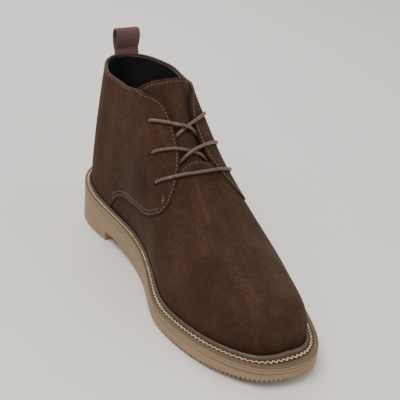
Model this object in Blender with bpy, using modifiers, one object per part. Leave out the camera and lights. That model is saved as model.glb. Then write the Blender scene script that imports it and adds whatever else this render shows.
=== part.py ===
import math

import bmesh
import bpy
import numpy as np
from mathutils import Vector

# Start from an empty file
for old in list(bpy.data.objects):
    bpy.data.objects.remove(old, do_unlink=True)

# Whole boot, metres: X runs from heel to toe, +Y is the outer side, Z is up
SOLE_LENGTH = 0.300
BALL_WIDTH = 0.112
COLLAR_HEIGHT = 0.138
TOE_OFFSET = 0.0033
FIT_GAP = 0.0003

# Sole
SOLE_TOP = 0.037
TOE_SPRING = 0.007
HEEL_LENGTH = 0.075
ARCH_RISE = 0.008
ARCH_END = 0.150
FLAT_END = 0.212
EDGE_ROUND = 0.0010
LIP_DEPTH = 0.0009
GROOVE_WIDTH = 0.0050
GROOVE_DEPTH = 0.0020
GROOVE_PITCH = 0.0135
GROOVE_RIM = 0.008

# Welt and insole board
WELT_THICK = 0.0030
WELT_RIB = 0.0024
WELT_ROUND = 0.0004
INSOLE_THICK = 0.0031
INSOLE_INSET = 0.0009

# Upper: the vamp wall goes inward from the last, the quarter lies over it
WALL_IN = 0.0018
QUARTER_OUT = 0.0011
QUARTER_IN = 0.0006
EYELET_RADIUS = 0.0019
TONGUE_GAP = 0.0008
TONGUE_THICK = 0.0021

# Laces and pull loop
LACE_RADIUS = 0.0014
LACE_GAP = 0.0005
LOOP_WIDTH = 0.021
LOOP_THICK = 0.0016
LOOP_LEG = 0.020
LOOP_RISE = 0.020
LOOP_BOW = 0.0055
LOOP_LEAN = 0.0020
LOOP_GAP = 0.0005

# Outline stations as shares of the sole length, half widths as shares of the ball width
OUTLINE = (
    # station, medial, lateral
    (0.000, 0.000, 0.000),
    (0.015, 0.127, 0.119),
    (0.060, 0.262, 0.244),
    (0.150, 0.335, 0.324),
    (0.280, 0.305, 0.316),
    (0.420, 0.289, 0.344),
    (0.550, 0.368, 0.479),
    (0.660, 0.450, 0.545),
    (0.770, 0.439, 0.466),
    (0.870, 0.375, 0.374),
    (0.950, 0.264, 0.269),
    (0.985, 0.164, 0.171),
    (1.000, 0.000, 0.000),
)

# Top of the welt edge as a share of its height at the back of the heel
SOLE_LINE = (
    # station, height
    (0.00, 1.000),
    (0.12, 0.878),
    (0.25, 0.757),
    (0.45, 0.580),
    (0.64, 0.410),
    (0.82, 0.428),
    (1.00, 0.497),
)

# Welt width from the edge of the sole in to the foot of the upper
WELT_LINE = (
    # outline row, share of the ball width
    (0.0, 0.076),
    (3.0, 0.050),
    (5.0, 0.039),
    (7.0, 0.061),
    (9.0, 0.076),
    (12.0, 0.130),
)

# Cross ribs of the last, one for each place along the outline. Lengths are shares of the sole
# length (crest x), the collar height (crest z, rise) and the ball width (crest y, reach).
LAST = (
    # row, crest x, crest z, crest y, flare, rise, reach, turn, lift
    (0.0, 0.223, 1.556, 0.000, 14.0, 0.337, 0.335, 0.0, 0.00),
    (1.0, 0.221, 1.560, 0.000, 6.0, 0.335, 0.321, 48.0, 0.00),
    (2.0, 0.224, 1.556, 0.000, -1.0, 0.331, 0.304, 78.0, 0.00),
    (3.0, 0.237, 1.525, 0.000, 1.0, 0.312, 0.279, 92.0, 0.00),
    (4.0, 0.257, 1.431, 0.000, 6.0, 0.283, 0.257, 102.0, 0.20),
    (4.5, 0.283, 1.261, 0.007, 13.0, 0.268, 0.286, 107.0, 0.40),
    (5.0, 0.338, 1.087, 0.014, 19.5, 0.243, 0.293, 102.0, 0.40),
    (5.5, 0.404, 0.902, 0.017, 22.0, 0.207, 0.262, 93.0, 0.15),
    (6.2, 0.499, 0.697, 0.018, 20.5, 0.178, 0.243, 90.0, 0.00),
    (7.0, 0.619, 0.522, 0.018, 13.5, 0.153, 0.211, 90.0, 0.00),
    (8.0, 0.737, 0.431, 0.020, 12.5, 0.148, 0.208, 90.0, 0.00),
    (9.0, 0.825, 0.386, 0.023, 13.5, 0.144, 0.200, 95.0, 0.00),
    (10.2, 0.880, 0.355, 0.027, 14.3, 0.128, 0.134, 130.0, 0.05),
    (12.0, 0.907, 0.339, 0.029, 14.0, 0.089, 0.088, 180.0, 0.12),
)

# Height of the collar along the outline rows
COLLAR = (
    # row, share of the collar height
    (0.0, 1.004),
    (1.0, 1.004),
    (2.0, 1.000),
    (3.0, 0.993),
    (4.0, 0.984),
)

# Pattern edges as outline row and climb. Climb runs from the welt at 0 to the crest at 1, and
# below 0 the last goes straight down, to the deck of the sole at -SKIRT.
SKIRT = 0.06
FACING = ((4.5, 0.655), (4.87, 0.750), (5.2, 0.852), (5.43, 0.889), (5.62, 0.893), (5.82, 0.884),
          (6.0, 0.865), (6.12, 0.830))
QUARTER_FOOT = ((0.0, -0.056), (1.0, -0.056), (2.0, -0.056), (3.0, -0.056), (3.68, -0.056),
                (3.79, 0.0), (3.86, 0.045), (3.97, 0.085), (4.2, 0.130), (4.65, 0.190),
                (5.18, 0.262), (5.5, 0.305), (5.85, 0.380), (6.20, 0.490))
QUARTER_NOSE = ((6.20, 0.490), (6.31, 0.560), (6.345, 0.620), (6.32, 0.690), (6.24, 0.765),
                (6.12, 0.830))
SEAM_ROW = 6.13
BACKING_SETBACK = 0.018
TONGUE_CREST = ((0.0, 4.36), (0.25, 4.60), (0.5, 4.80), (0.75, 4.96), (1.0, 5.06))
TONGUE_SIDE = ((0.0, 0.620), (0.35, 0.660), (0.7, 0.680), (1.0, 0.700))
TONGUE_FOOT = 6.45
EYELETS = ((5.09, 0.690), (5.47, 0.635), (5.83, 0.575))
LACE_ENDS = ((5.72, 0.905), (6.06, 0.885))
BAR_ROW = 6.335

# Length of one outline row and of the whole climb, for spacing points evenly on a pattern edge
PATTERN_SIZE = (0.025, 0.100)

# Mesh steps
EDGE_STEPS = 45
BOARD_STEPS = 41
REAR_STEPS = 13
VAMP_STEPS = 18
CLIMB_STEPS = 11
CREST_STEPS = 3
QUARTER_STEPS = (29, 13)
TONGUE_STEPS = (15, 9)
ARCH_STEPS = 10
BOW_STEPS = 14
STRAND_STEPS = 9
BAR_STEPS = 12
WELD = 2e-6


# A natural cubic curve through table rows, or a closed one
def curve(knots, values, at, closed=False):
    k = np.asarray(knots, float)
    v = np.asarray(values, float)
    flat = v.reshape(len(v), -1)
    at = np.asarray(at, float)
    h = np.diff(k)
    n = len(k) - 1 if closed else len(k)
    left = np.zeros((n, n))
    right = np.zeros((n, flat.shape[1]))
    for i in range(n):
        if not closed and i in (0, n - 1):
            left[i, i] = 1.0
            continue
        a = h[i - 1]
        b = h[i]
        left[i, (i - 1) % n] += a
        left[i, i] += 2.0 * (a + b)
        left[i, (i + 1) % n] += b
        following = flat[(i + 1) % n] if closed else flat[i + 1]
        right[i] = 6.0 * ((following - flat[i]) / b - (flat[i] - flat[(i - 1) % n]) / a)
    bend = np.linalg.solve(left, right)
    if closed:
        bend = np.vstack([bend, bend[:1]])
    i = np.clip(np.searchsorted(k, at, side="right") - 1, 0, len(k) - 2)
    step = h[i][:, None]
    a = (k[i + 1] - at)[:, None] / step
    b = (at - k[i])[:, None] / step
    out = a * flat[i] + b * flat[i + 1]
    out = out + ((a ** 3 - a) * bend[i] + (b ** 3 - b) * bend[i + 1]) * step ** 2 / 6.0
    return out.reshape((len(at),) + v.shape[1:])


ROWS = np.array(OUTLINE)
COUNT = len(ROWS) - 1
MEDIAL = np.c_[ROWS[:, 0] * SOLE_LENGTH, -ROWS[:, 1] * BALL_WIDTH]
LATERAL = np.c_[ROWS[:, 0] * SOLE_LENGTH, ROWS[:, 2] * BALL_WIDTH]
MEDIAL[-1, 1] = TOE_OFFSET
LATERAL[-1, 1] = TOE_OFFSET
LOOP_POINTS = np.vstack([MEDIAL, LATERAL[::-1][1:]])
CHORDS = np.r_[0.0, np.cumsum(np.hypot(*np.diff(LOOP_POINTS, axis=0).T) ** 0.75)]
SOLE_KNOTS = np.array(SOLE_LINE)
WELT_KNOTS = np.array(WELT_LINE)
LAST_ROWS = np.array(LAST)


# Point and outward direction of the sole outline at outline row u, side -1 medial and +1 lateral
def outline(u, side):
    u = np.asarray(u, float)
    if side < 0:
        g = np.interp(u, np.arange(COUNT + 1), CHORDS[:COUNT + 1])
    else:
        g = np.interp(2 * COUNT - u, np.arange(COUNT, 2 * COUNT + 1), CHORDS[COUNT:])
    span = CHORDS[-1]
    nudge = span * 1e-5
    here = curve(CHORDS, LOOP_POINTS, g % span, True)
    ahead = curve(CHORDS, LOOP_POINTS, (g + nudge) % span, True)
    behind = curve(CHORDS, LOOP_POINTS, (g - nudge) % span, True)
    run = ahead - behind
    run = run / np.linalg.norm(run, axis=1, keepdims=True)
    return here, np.c_[run[:, 1], -run[:, 0]]


# Height of the top of the welt edge, and of the deck of the outsole under the welt
def sole_line(x):
    share = np.clip(np.asarray(x) / SOLE_LENGTH, 0.0, 1.0)
    return curve(SOLE_KNOTS[:, 0], SOLE_KNOTS[:, 1], share) * SOLE_TOP


def deck(x):
    return sole_line(x) - WELT_THICK


# Bottom of the sole before the arch is cut: flat, with the toe sprung up
def sole_bottom(x):
    run = np.clip((np.asarray(x) - FLAT_END) / (SOLE_LENGTH - FLAT_END), 0.0, None)
    return TOE_SPRING * run ** 2


def welt_width(u):
    return curve(WELT_KNOTS[:, 0], WELT_KNOTS[:, 1], u) * BALL_WIDTH


# The last: a point for each outline row u and climb v
def last(u, v, side):
    u = np.asarray(u, float)
    v = np.asarray(v, float)
    edge, out = outline(u, side)
    foot = edge - out * welt_width(u)[:, None]
    start = np.c_[foot, sole_line(foot[:, 0]) + WELT_RIB]
    row = curve(LAST_ROWS[:, 0], LAST_ROWS[:, 1:], u)
    flare = np.radians(row[:, 3])
    turn = np.radians(row[:, 6])
    crest = np.c_[row[:, 0] * SOLE_LENGTH, row[:, 2] * BALL_WIDTH, row[:, 1] * COLLAR_HEIGHT]
    rise = np.c_[out * np.sin(flare)[:, None], np.cos(flare)]
    reach = np.c_[np.cos(turn), -side * np.sin(turn), row[:, 7]]
    reach = reach / np.linalg.norm(reach, axis=1, keepdims=True)
    low = start + rise * (row[:, 4] * COLLAR_HEIGHT)[:, None]
    high = crest - reach * (row[:, 5] * BALL_WIDTH)[:, None]
    t = np.clip(v, 0.0, 1.0)[:, None]
    body = (1 - t) ** 3 * start + 3 * (1 - t) ** 2 * t * low + 3 * (1 - t) * t * t * high + t ** 3 * crest
    drop = (WELT_RIB + WELT_THICK - FIT_GAP) / SKIRT
    body[:, 2] += np.clip(v, None, 0.0) * drop
    return body


# A point of the last and the direction out of it
def frame_at(u, v, side):
    p = last([u], [v], side)[0]
    du = last([u + 0.02], [v], side)[0] - last([u - 0.02], [v], side)[0]
    dv = last([u], [v + 0.01], side)[0] - last([u], [v - 0.01], side)[0]
    out = np.cross(du, dv) * (1 if side < 0 else -1)
    return p, out / np.linalg.norm(out)


# Climb of the collar at outline row u, found by halving
def collar_climb(u, side):
    share = np.interp(u, [r[0] for r in COLLAR], [r[1] for r in COLLAR])
    goal = share * COLLAR_HEIGHT
    low = np.full(len(u), 0.2)
    high = np.full(len(u), 0.9)
    for _ in range(30):
        mid = (low + high) / 2
        above = last(u, mid, side)[:, 2] > goal
        high = np.where(above, mid, high)
        low = np.where(above, low, mid)
    return (low + high) / 2


# The top edge of the quarter, collar then facing, as rows and climbs
def top_edge(side):
    rows = np.arange(0.0, COLLAR[-1][0] + 0.25, 0.5)
    collar = np.c_[rows, collar_climb(rows, side)]
    return np.vstack([collar, np.array(FACING)])


# Evenly spaced points on the smooth curve, or the straight runs, through pattern points
def along(points, count, smooth=True):
    p = np.asarray(points, float)
    if smooth:
        d = np.r_[0.0, np.cumsum(np.linalg.norm(np.diff(p * PATTERN_SIZE, axis=0), axis=1))]
        p = curve(d, p, np.linspace(0.0, d[-1], 20 * len(p)))
    d = np.r_[0.0, np.cumsum(np.linalg.norm(np.diff(p * PATTERN_SIZE, axis=0), axis=1))]
    at = np.linspace(0.0, d[-1], count)
    return np.c_[np.interp(at, d, p[:, 0]), np.interp(at, d, p[:, 1])]


# Outline rows spaced evenly along the edge of the sole
def even_rows(count):
    fine = np.linspace(0.0, COUNT, 600)
    edge = outline(fine, -1)[0]
    d = np.r_[0.0, np.cumsum(np.linalg.norm(np.diff(edge, axis=0), axis=1))]
    return np.interp(np.linspace(0.0, d[-1], count), d, fine)


# The origin lies on the ground in the middle of the sole's box
FINE_ROWS = np.linspace(0.0, COUNT, 600)
SIDE_REACH = outline(FINE_ROWS, 1)[0][:, 1].max() + outline(FINE_ROWS, -1)[0][:, 1].min()
ORIGIN = np.array([SOLE_LENGTH / 2, SIDE_REACH / 2, 0.0])

PARTS = bpy.data.collections.new("suede_chukka_boot")
CUTTERS = bpy.data.collections.new("cutters")
bpy.context.scene.collection.children.link(PARTS)
bpy.context.scene.collection.children.link(CUTTERS)


# Link a mesh as an object, a cutter hidden
def place(name, mesh, collection=PARTS):
    obj = bpy.data.objects.new(name, mesh)
    collection.objects.link(obj)
    if collection is CUTTERS:
        obj.hide_render = True
        obj.display_type = "WIRE"
    return obj


# Weld loose quads into one mesh
def weld(name, quads):
    index = {}
    points = []
    faces = []
    for quad in quads:
        face = []
        for p in quad:
            key = tuple(int(round(c / WELD)) for c in p)
            if key not in index:
                index[key] = len(points)
                points.append(tuple(p - ORIGIN))
            if index[key] not in face:
                face.append(index[key])
        if len(face) > 2:
            faces.append(face)
    mesh = bpy.data.meshes.new(name)
    mesh.from_pydata(points, [], faces)
    return mesh


# A closed solid from quads
def solid_from(name, quads, collection=PARTS):
    mesh = weld(name, quads)
    bm = bmesh.new()
    bm.from_mesh(mesh)
    bmesh.ops.recalc_face_normals(bm, faces=bm.faces)
    bm.to_mesh(mesh)
    bm.free()
    return place(name, mesh, collection)


# A new mesh of an object as its modifiers leave it
def evaluated_mesh(obj):
    bpy.context.view_layer.update()
    deps = bpy.context.evaluated_depsgraph_get()
    return bpy.data.meshes.new_from_object(obj.evaluated_get(deps))


def bake(obj):
    mesh = evaluated_mesh(obj)
    obj.modifiers.clear()
    obj.data = mesh


# An open sheet of quads thickened between two distances from it, outward positive
def shell(name, quads, low, high, collection=PARTS):
    sheet = place(name, weld(name, quads), collection)
    solidify = sheet.modifiers.new("wall", "SOLIDIFY")
    solidify.thickness = high - low
    solidify.offset = (high + low) / (high - low)
    solidify.use_even_offset = False
    bake(sheet)
    return sheet


# A curve object made into a mesh, with its caps welded on
def curve_to_mesh(name, curve_obj, collection):
    mesh = evaluated_mesh(curve_obj)
    bm = bmesh.new()
    bm.from_mesh(mesh)
    bmesh.ops.remove_doubles(bm, verts=bm.verts, dist=WELD)
    bmesh.ops.recalc_face_normals(bm, faces=bm.faces)
    bm.to_mesh(mesh)
    bm.free()
    obj = place(name, mesh, collection)
    obj.matrix_world = curve_obj.matrix_world.copy()
    bpy.data.objects.remove(curve_obj, do_unlink=True)
    return obj


# A flat outline of x and z pushed out to a width along Y about the centre line
def plate(name, points, width, collection=PARTS):
    flat = bpy.data.curves.new(name + "_outline", "CURVE")
    flat.dimensions = "2D"
    flat.fill_mode = "BOTH"
    flat.extrude = width / 2
    spline = flat.splines.new("POLY")
    spline.points.add(len(points) - 1)
    for point, (x, z) in zip(spline.points, points):
        point.co = (x - ORIGIN[0], z, 0.0, 1.0)
    spline.use_cyclic_u = True
    obj = place(name + "_outline", flat, collection)
    obj.rotation_euler = (math.pi / 2, 0.0, 0.0)
    obj.location = (0.0, -ORIGIN[1], 0.0)
    return curve_to_mesh(name, obj, collection)


# A round cord along points
def cord(name, points, radius, collection=PARTS):
    line = bpy.data.curves.new(name + "_line", "CURVE")
    line.dimensions = "3D"
    line.bevel_depth = radius
    line.bevel_resolution = 2
    line.use_fill_caps = True
    spline = line.splines.new("POLY")
    spline.points.add(len(points) - 1)
    for point, at in zip(spline.points, points):
        point.co = (*(at - ORIGIN), 1.0)
    obj = place(name + "_line", line, collection)
    return curve_to_mesh(name, obj, collection)


# A box between two corners, for cutting
def box_cutter(name, low, high):
    mesh = bpy.data.meshes.new(name)
    bm = bmesh.new()
    bmesh.ops.create_cube(bm, size=1.0)
    bmesh.ops.scale(bm, vec=Vector(high) - Vector(low), verts=bm.verts)
    bm.to_mesh(mesh)
    bm.free()
    obj = place(name, mesh, CUTTERS)
    obj.location = (Vector(high) + Vector(low)) / 2 - Vector(ORIGIN)
    return obj


# A round cutter about a line
def pin_cutter(name, centre, direction, radius, depth):
    mesh = bpy.data.meshes.new(name)
    bm = bmesh.new()
    bmesh.ops.create_cone(bm, cap_ends=True, segments=10, radius1=radius, radius2=radius, depth=depth)
    bm.to_mesh(mesh)
    bm.free()
    obj = place(name, mesh, CUTTERS)
    obj.rotation_euler = Vector(direction).to_track_quat("Z", "Y").to_euler()
    obj.location = centre - ORIGIN
    return obj


# Cut or join, then clear the slivers that an exact cut leaves
def apply_boolean(obj, other, operation):
    mod = obj.modifiers.new(operation.lower(), "BOOLEAN")
    mod.operation = operation
    mod.solver = "EXACT"
    mod.object = other
    bake(obj)
    bm = bmesh.new()
    bm.from_mesh(obj.data)
    bmesh.ops.remove_doubles(bm, verts=bm.verts, dist=WELD)
    bmesh.ops.dissolve_degenerate(bm, edges=bm.edges, dist=WELD)
    bmesh.ops.triangulate(bm, faces=[f for f in bm.faces if len(f.verts) > 4])
    bm.to_mesh(obj.data)
    bm.free()


def give_material(obj, color, roughness):
    mat = bpy.data.materials.new(obj.name)
    mat.use_nodes = True
    shader = mat.node_tree.nodes["Principled BSDF"]
    shader.inputs["Base Color"].default_value = (*color, 1.0)
    shader.inputs["Roughness"].default_value = roughness
    obj.data.materials.clear()
    obj.data.materials.append(mat)


def shade_round(obj, sharp_degrees=50.0):
    obj.data.shade_smooth()
    obj.data.set_sharp_from_angle(angle=math.radians(sharp_degrees))


# A flat loop inset from the outline: medial heel to toe, then lateral toe to heel
def edge_loop(rows, insets):
    loop = []
    for side, order in ((-1, slice(None)), (1, slice(-2, 0, -1))):
        edge, out = outline(rows[order], side)
        loop.append(edge - out * insets[order, None])
    return np.vstack(loop)


# Quads between two loops of the same count
def wall_between(a, b):
    n = len(a)
    return [[a[i], a[(i + 1) % n], b[(i + 1) % n], b[i]] for i in range(n)]


# Strips that close a loop from its medial to its lateral side
def lid(loop, up):
    n = len(loop)
    quads = []
    for i in range(n // 2):
        quad = [loop[i], loop[i + 1], loop[(n - i - 1) % n], loop[(n - i) % n]]
        quads.append(quad if up else quad[::-1])
    return quads


# Outsole side: a rounded bottom edge, the wall, and a thin lip groove under the welt
def make_outsole():
    section = (
        # inset, share of the way from the bottom to the deck, lift
        (EDGE_ROUND, 0.0, 0.0),
        (0.2 * EDGE_ROUND, 0.0, EDGE_ROUND),
        (0.0, 0.45, 0.0),
        (0.5 * LIP_DEPTH, 1.0, -3.0 * LIP_DEPTH),
        (LIP_DEPTH, 1.0, -2.4 * LIP_DEPTH),
        (0.0, 1.0, -1.9 * LIP_DEPTH),
        (0.0, 1.0, 0.0),
    )
    rows = even_rows(EDGE_STEPS)
    loops = []
    for inset, share, lift in section:
        flat = edge_loop(rows, np.full(len(rows), inset))
        x = flat[:, 0]
        loops.append(np.c_[flat, sole_bottom(x) * (1 - share) + deck(x) * share + lift])
    quads = lid(loops[-1], True) + lid(loops[0], False)
    for a, b in zip(loops[:-1], loops[1:]):
        quads += wall_between(a, b)
    return solid_from("outsole", quads)


# The arch rises at the breast of the heel and runs out to the tread
def cut_arch(outsole):
    profile = [(HEEL_LENGTH, -ARCH_RISE), (HEEL_LENGTH, ARCH_RISE)]
    for i in range(1, ARCH_STEPS):
        t = i / ARCH_STEPS
        x = HEEL_LENGTH + (ARCH_END - HEEL_LENGTH) * t
        profile.append((x, ARCH_RISE * (0.5 + 0.5 * math.cos(math.pi * t))))
    profile += [(ARCH_END, 0.0), (ARCH_END, -ARCH_RISE)]
    apply_boolean(outsole, plate("arch_cutter", profile, 2 * BALL_WIDTH, CUTTERS), "DIFFERENCE")


# Cross grooves under the heel and the forefoot, stopped by a rim along the edge
def cut_grooves(outsole):
    heel = np.arange(GROOVE_PITCH, HEEL_LENGTH - GROOVE_PITCH, GROOVE_PITCH)
    tread = np.arange(ARCH_END + GROOVE_PITCH, SOLE_LENGTH - 2 * GROOVE_PITCH, GROOVE_PITCH)
    for k, start in enumerate(np.r_[heel, tread]):
        ends = [start, start + GROOVE_WIDTH]
        low = np.interp(ends, MEDIAL[:, 0], MEDIAL[:, 1]).max() + GROOVE_RIM
        high = np.interp(ends, LATERAL[:, 0], LATERAL[:, 1]).min() - GROOVE_RIM
        top = float(sole_bottom(start + GROOVE_WIDTH / 2)) + GROOVE_DEPTH
        if high - low > 2 * GROOVE_RIM:
            bar = box_cutter(f"groove_cutter_{k}", (start, low, -GROOVE_PITCH), (ends[1], high, top))
            apply_boolean(outsole, bar, "DIFFERENCE")


# Clear width between the welt's rib and the upper, wider where the quarter lies on the vamp
def welt_clear(u):
    vamp = FIT_GAP + WELT_ROUND
    return np.interp(u, [4.1, 4.7], [vamp + QUARTER_OUT, vamp])


# Storm welt: a flat margin, a groove for the stitches and a rib beside the upper
def make_welt():
    section = (
        # share of the width in from the edge, height over the welt edge
        (0.000, -WELT_THICK + FIT_GAP),
        (0.000, -WELT_ROUND),
        (0.035, 0.0),
        (0.210, 0.0),
        (0.270, -0.3 * WELT_RIB),
        (0.560, -0.3 * WELT_RIB),
        (0.620, 0.33 * WELT_RIB),
        (0.720, 0.83 * WELT_RIB),
        (0.840, WELT_RIB),
        (1.000, 0.67 * WELT_RIB),
        (1.000, -WELT_THICK + FIT_GAP),
    )
    rows = even_rows(EDGE_STEPS)
    width = welt_width(rows) - welt_clear(rows)
    loops = []
    for share, lift in section:
        flat = edge_loop(rows, width * share)
        loops.append(np.c_[flat, sole_line(flat[:, 0]) + lift])
    quads = []
    for a, b in zip(loops, loops[1:] + loops[:1]):
        quads += wall_between(a, b)
    return solid_from("welt", quads)


# Insole board inside the foot of the upper
def make_insole():
    rows = even_rows(BOARD_STEPS)
    flat = edge_loop(rows, welt_width(rows) + WALL_IN + FIT_GAP + INSOLE_INSET)
    low = np.c_[flat, deck(flat[:, 0]) + FIT_GAP]
    high = low + np.array([0.0, 0.0, INSOLE_THICK])
    return solid_from("insole", lid(low, False) + lid(high, True) + wall_between(low, high))


# Quads of a grid of rows and climbs on one side of the last
def grid_on_last(pattern, side):
    n, m = pattern.shape[:2]
    points = last(pattern[..., 0].ravel(), pattern[..., 1].ravel(), side).reshape(n, m, 3)
    quads = []
    for i in range(n - 1):
        for j in range(m - 1):
            quad = [points[i, j], points[i + 1, j], points[i + 1, j + 1], points[i, j + 1]]
            quads.append(quad if side < 0 else quad[::-1])
    return quads


# Vamp and backing: one sheet over the whole last, open at the collar and the throat
def base_sheet(side):
    edge = top_edge(side)
    edge[:, 1] -= BACKING_SETBACK
    collar_end = COLLAR[-1][0]
    rear = np.r_[np.linspace(0.0, collar_end, REAR_STEPS)[:-1],
                 np.linspace(collar_end, SEAM_ROW, REAR_STEPS)]
    top = curve(edge[:, 0], edge[:, 1], np.minimum(rear, FACING[-1][0]))
    shares = np.linspace(0.0, 1.0, CLIMB_STEPS)
    pattern = np.zeros((len(rear), CLIMB_STEPS + 1, 2))
    pattern[:, :, 0] = rear[:, None]
    pattern[:, 0, 1] = -SKIRT
    pattern[:, 1:, 1] = shares[None, :] * top[:, None]
    quads = grid_on_last(pattern, side)
    front = np.linspace(SEAM_ROW, COUNT, VAMP_STEPS + 1)
    pattern = np.zeros((len(front), CLIMB_STEPS + 1 + CREST_STEPS, 2))
    pattern[:, :, 0] = front[:, None]
    pattern[:, 0, 1] = -SKIRT
    pattern[:, 1:CLIMB_STEPS + 1, 1] = shares[None, :] * top[-1]
    pattern[:, CLIMB_STEPS:, 1] = np.linspace(top[-1], 1.0, CREST_STEPS + 1)[None, :]
    return quads + grid_on_last(pattern, side)


# Quarter: the outer layer round the heel, filled between its foot, top, back and nose
def quarter_sheet(side):
    columns, climbs = QUARTER_STEPS
    foot = along(QUARTER_FOOT, columns, smooth=False)
    top = along(top_edge(side), columns)
    nose = along(QUARTER_NOSE, climbs)
    back = np.c_[np.zeros(climbs), np.linspace(foot[0, 1], top[0, 1], climbs)]
    s = np.linspace(0.0, 1.0, columns)[:, None, None]
    t = np.linspace(0.0, 1.0, climbs)[None, :, None]
    pattern = (1 - t) * foot[:, None] + t * top[:, None] + (1 - s) * back[None] + s * nose[None]
    pattern -= (1 - s) * (1 - t) * foot[0] + s * (1 - t) * foot[-1]
    pattern -= (1 - s) * t * top[0] + s * t * top[-1]
    return grid_on_last(pattern, side)


# Upper: vamp, backing and quarters joined into one hollow body, with three lace holes a side
def make_upper():
    upper = shell("upper", base_sheet(-1) + base_sheet(1), -WALL_IN, 0.0)
    layer = quarter_sheet(-1) + quarter_sheet(1)
    apply_boolean(upper, shell("quarters", layer, -QUARTER_IN, QUARTER_OUT, CUTTERS), "UNION")
    for side in (-1, 1):
        for k, (u, v) in enumerate(EYELETS):
            centre, out = frame_at(u, v, side)
            name = f"eyelet_cutter_{'medial' if side < 0 else 'lateral'}_{k}"
            pin = pin_cutter(name, centre, out, EYELET_RADIUS, 6 * WALL_IN)
            apply_boolean(upper, pin, "DIFFERENCE")
    return upper


# Tongue under the facings, standing a little over the collar
def tongue_sheet(side):
    columns, climbs = TONGUE_STEPS
    t = np.linspace(0.0, 1.0, climbs)
    s = np.linspace(0.0, 1.0, columns)
    crest = np.interp(t, [r[0] for r in TONGUE_CREST], [r[1] for r in TONGUE_CREST])
    low = np.interp(s, [r[0] for r in TONGUE_SIDE], [r[1] for r in TONGUE_SIDE])
    pattern = np.zeros((columns, climbs, 2))
    pattern[..., 0] = (1 - s[:, None]) * crest[None] + s[:, None] * TONGUE_FOOT
    pattern[..., 1] = low[:, None] + t[None] * (1 - low[:, None])
    return grid_on_last(pattern, side)


def make_tongue():
    under = -(WALL_IN + TONGUE_GAP)
    return shell("tongue", tongue_sheet(-1) + tongue_sheet(1), under - TONGUE_THICK, under)


# Pull loop: webbing folded to an open bow, its two legs pressed on the back of the quarter
def make_pull_loop():
    climbs = np.linspace(0.3, 0.62, 40)
    back = last(np.zeros(len(climbs)), climbs, -1)
    near = QUARTER_OUT + LOOP_GAP
    rim = COLLAR_HEIGHT * COLLAR[0][1]
    heights = [rim - LOOP_LEG, rim - LOOP_LEG / 2, rim]
    front_leg = [(float(np.interp(z, back[:, 2], back[:, 0])) - near, z) for z in heights]
    rear_leg = [(x - 2 * LOOP_THICK, z) for x, z in front_leg]
    half_rise = 0.42 * LOOP_RISE
    centre_x = front_leg[-1][0] - LOOP_THICK - LOOP_LEAN
    centre_z = rim + LOOP_RISE - half_rise
    outside = []
    inside = []
    for turn in np.radians(np.linspace(-60.0, 240.0, BOW_STEPS + 1)):
        sway = math.cos(turn)
        climb = math.sin(turn)
        outside.append((centre_x + sway * LOOP_BOW, centre_z + climb * half_rise))
        inside.append((centre_x + sway * (LOOP_BOW - LOOP_THICK),
                       centre_z + climb * (half_rise - LOOP_THICK)))
    loop = plate("pull_loop", front_leg + outside + rear_leg[::-1], LOOP_WIDTH)
    apply_boolean(loop, plate("loop_cutter", inside, 2 * LOOP_WIDTH, CUTTERS), "DIFFERENCE")
    return loop


# Points of a lace over the last: climb runs past 1 down the other side
def lace_path(rows, climbs, side, lifts):
    path = []
    for u, across, lift in zip(rows, climbs, lifts):
        over = across > 1.0
        at, out = frame_at(u, 2.0 - across if over else across, -side if over else side)
        path.append(at + out * lift)
    return path


LACE_LIFT = QUARTER_OUT + LACE_RADIUS + LACE_GAP


# Two strands, each from its eyelet to just short of the far facing, joined where they cross
def lace_cross(name, eyelet, end, over_side):
    u, v = EYELETS[eyelet]
    s = np.linspace(0.0, 1.0, STRAND_STEPS)
    rows = u + (end[0] - u) * (1.0 - (1.0 - s) ** 2)
    climbs = v + (2.0 - end[1] - v) * s
    arch = 0.4 * LACE_RADIUS * np.exp(-((climbs - 1.0) / 0.08) ** 2)
    upper_path = lace_path(rows, climbs, over_side, LACE_LIFT + arch)
    lower_path = lace_path(rows, climbs, -over_side, LACE_LIFT - arch)
    cross = cord(name, upper_path, LACE_RADIUS)
    apply_boolean(cross, cord(name + "_lower", lower_path, LACE_RADIUS, CUTTERS), "UNION")
    return cross


# The bottom bar bows forward over the end of the vamp
def lace_bar(name, eyelet):
    u, v = EYELETS[eyelet]
    s = np.linspace(-1.0, 1.0, BAR_STEPS)
    rows = u + (BAR_ROW - u) * (1.0 - s * s)
    climbs = 1.0 + (1.0 - v) * s
    return cord(name, lace_path(rows, climbs, -1, np.full(BAR_STEPS, LACE_LIFT)), LACE_RADIUS)


outsole = make_outsole()
cut_arch(outsole)
cut_grooves(outsole)
give_material(outsole, (0.37, 0.26, 0.16), 0.65)

welt = make_welt()
give_material(welt, (0.15, 0.09, 0.06), 0.55)

insole = make_insole()
give_material(insole, (0.03, 0.03, 0.03), 0.5)

upper = make_upper()
shade_round(upper)
give_material(upper, (0.060, 0.026, 0.016), 0.9)

tongue = make_tongue()
shade_round(tongue)
give_material(tongue, (0.058, 0.026, 0.016), 0.9)

pull_loop = make_pull_loop()
shade_round(pull_loop)
give_material(pull_loop, (0.085, 0.042, 0.042), 0.7)

LACES = (
    lace_cross("lace_top", 0, LACE_ENDS[0], -1),
    lace_cross("lace_middle", 1, LACE_ENDS[1], 1),
    lace_bar("lace_bottom", 2),
)
for lace in LACES:
    shade_round(lace)
    give_material(lace, (0.19, 0.10, 0.085), 0.5)
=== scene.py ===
# %% [markdown]
# A suede chukka boot, dressed piece by piece.
# The solids from the source give every place and size. Here each of them gets a finer surface and
# its finish: brushed suede, black lining, stitched seams, a storm welt and a rubber sole.
# The frame is loaded first, because every piece is set on it and rides on its one body.

# %% Load the frame
import math

import bmesh
import bpy
import numpy as np
from mathutils import Matrix, Vector


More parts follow.
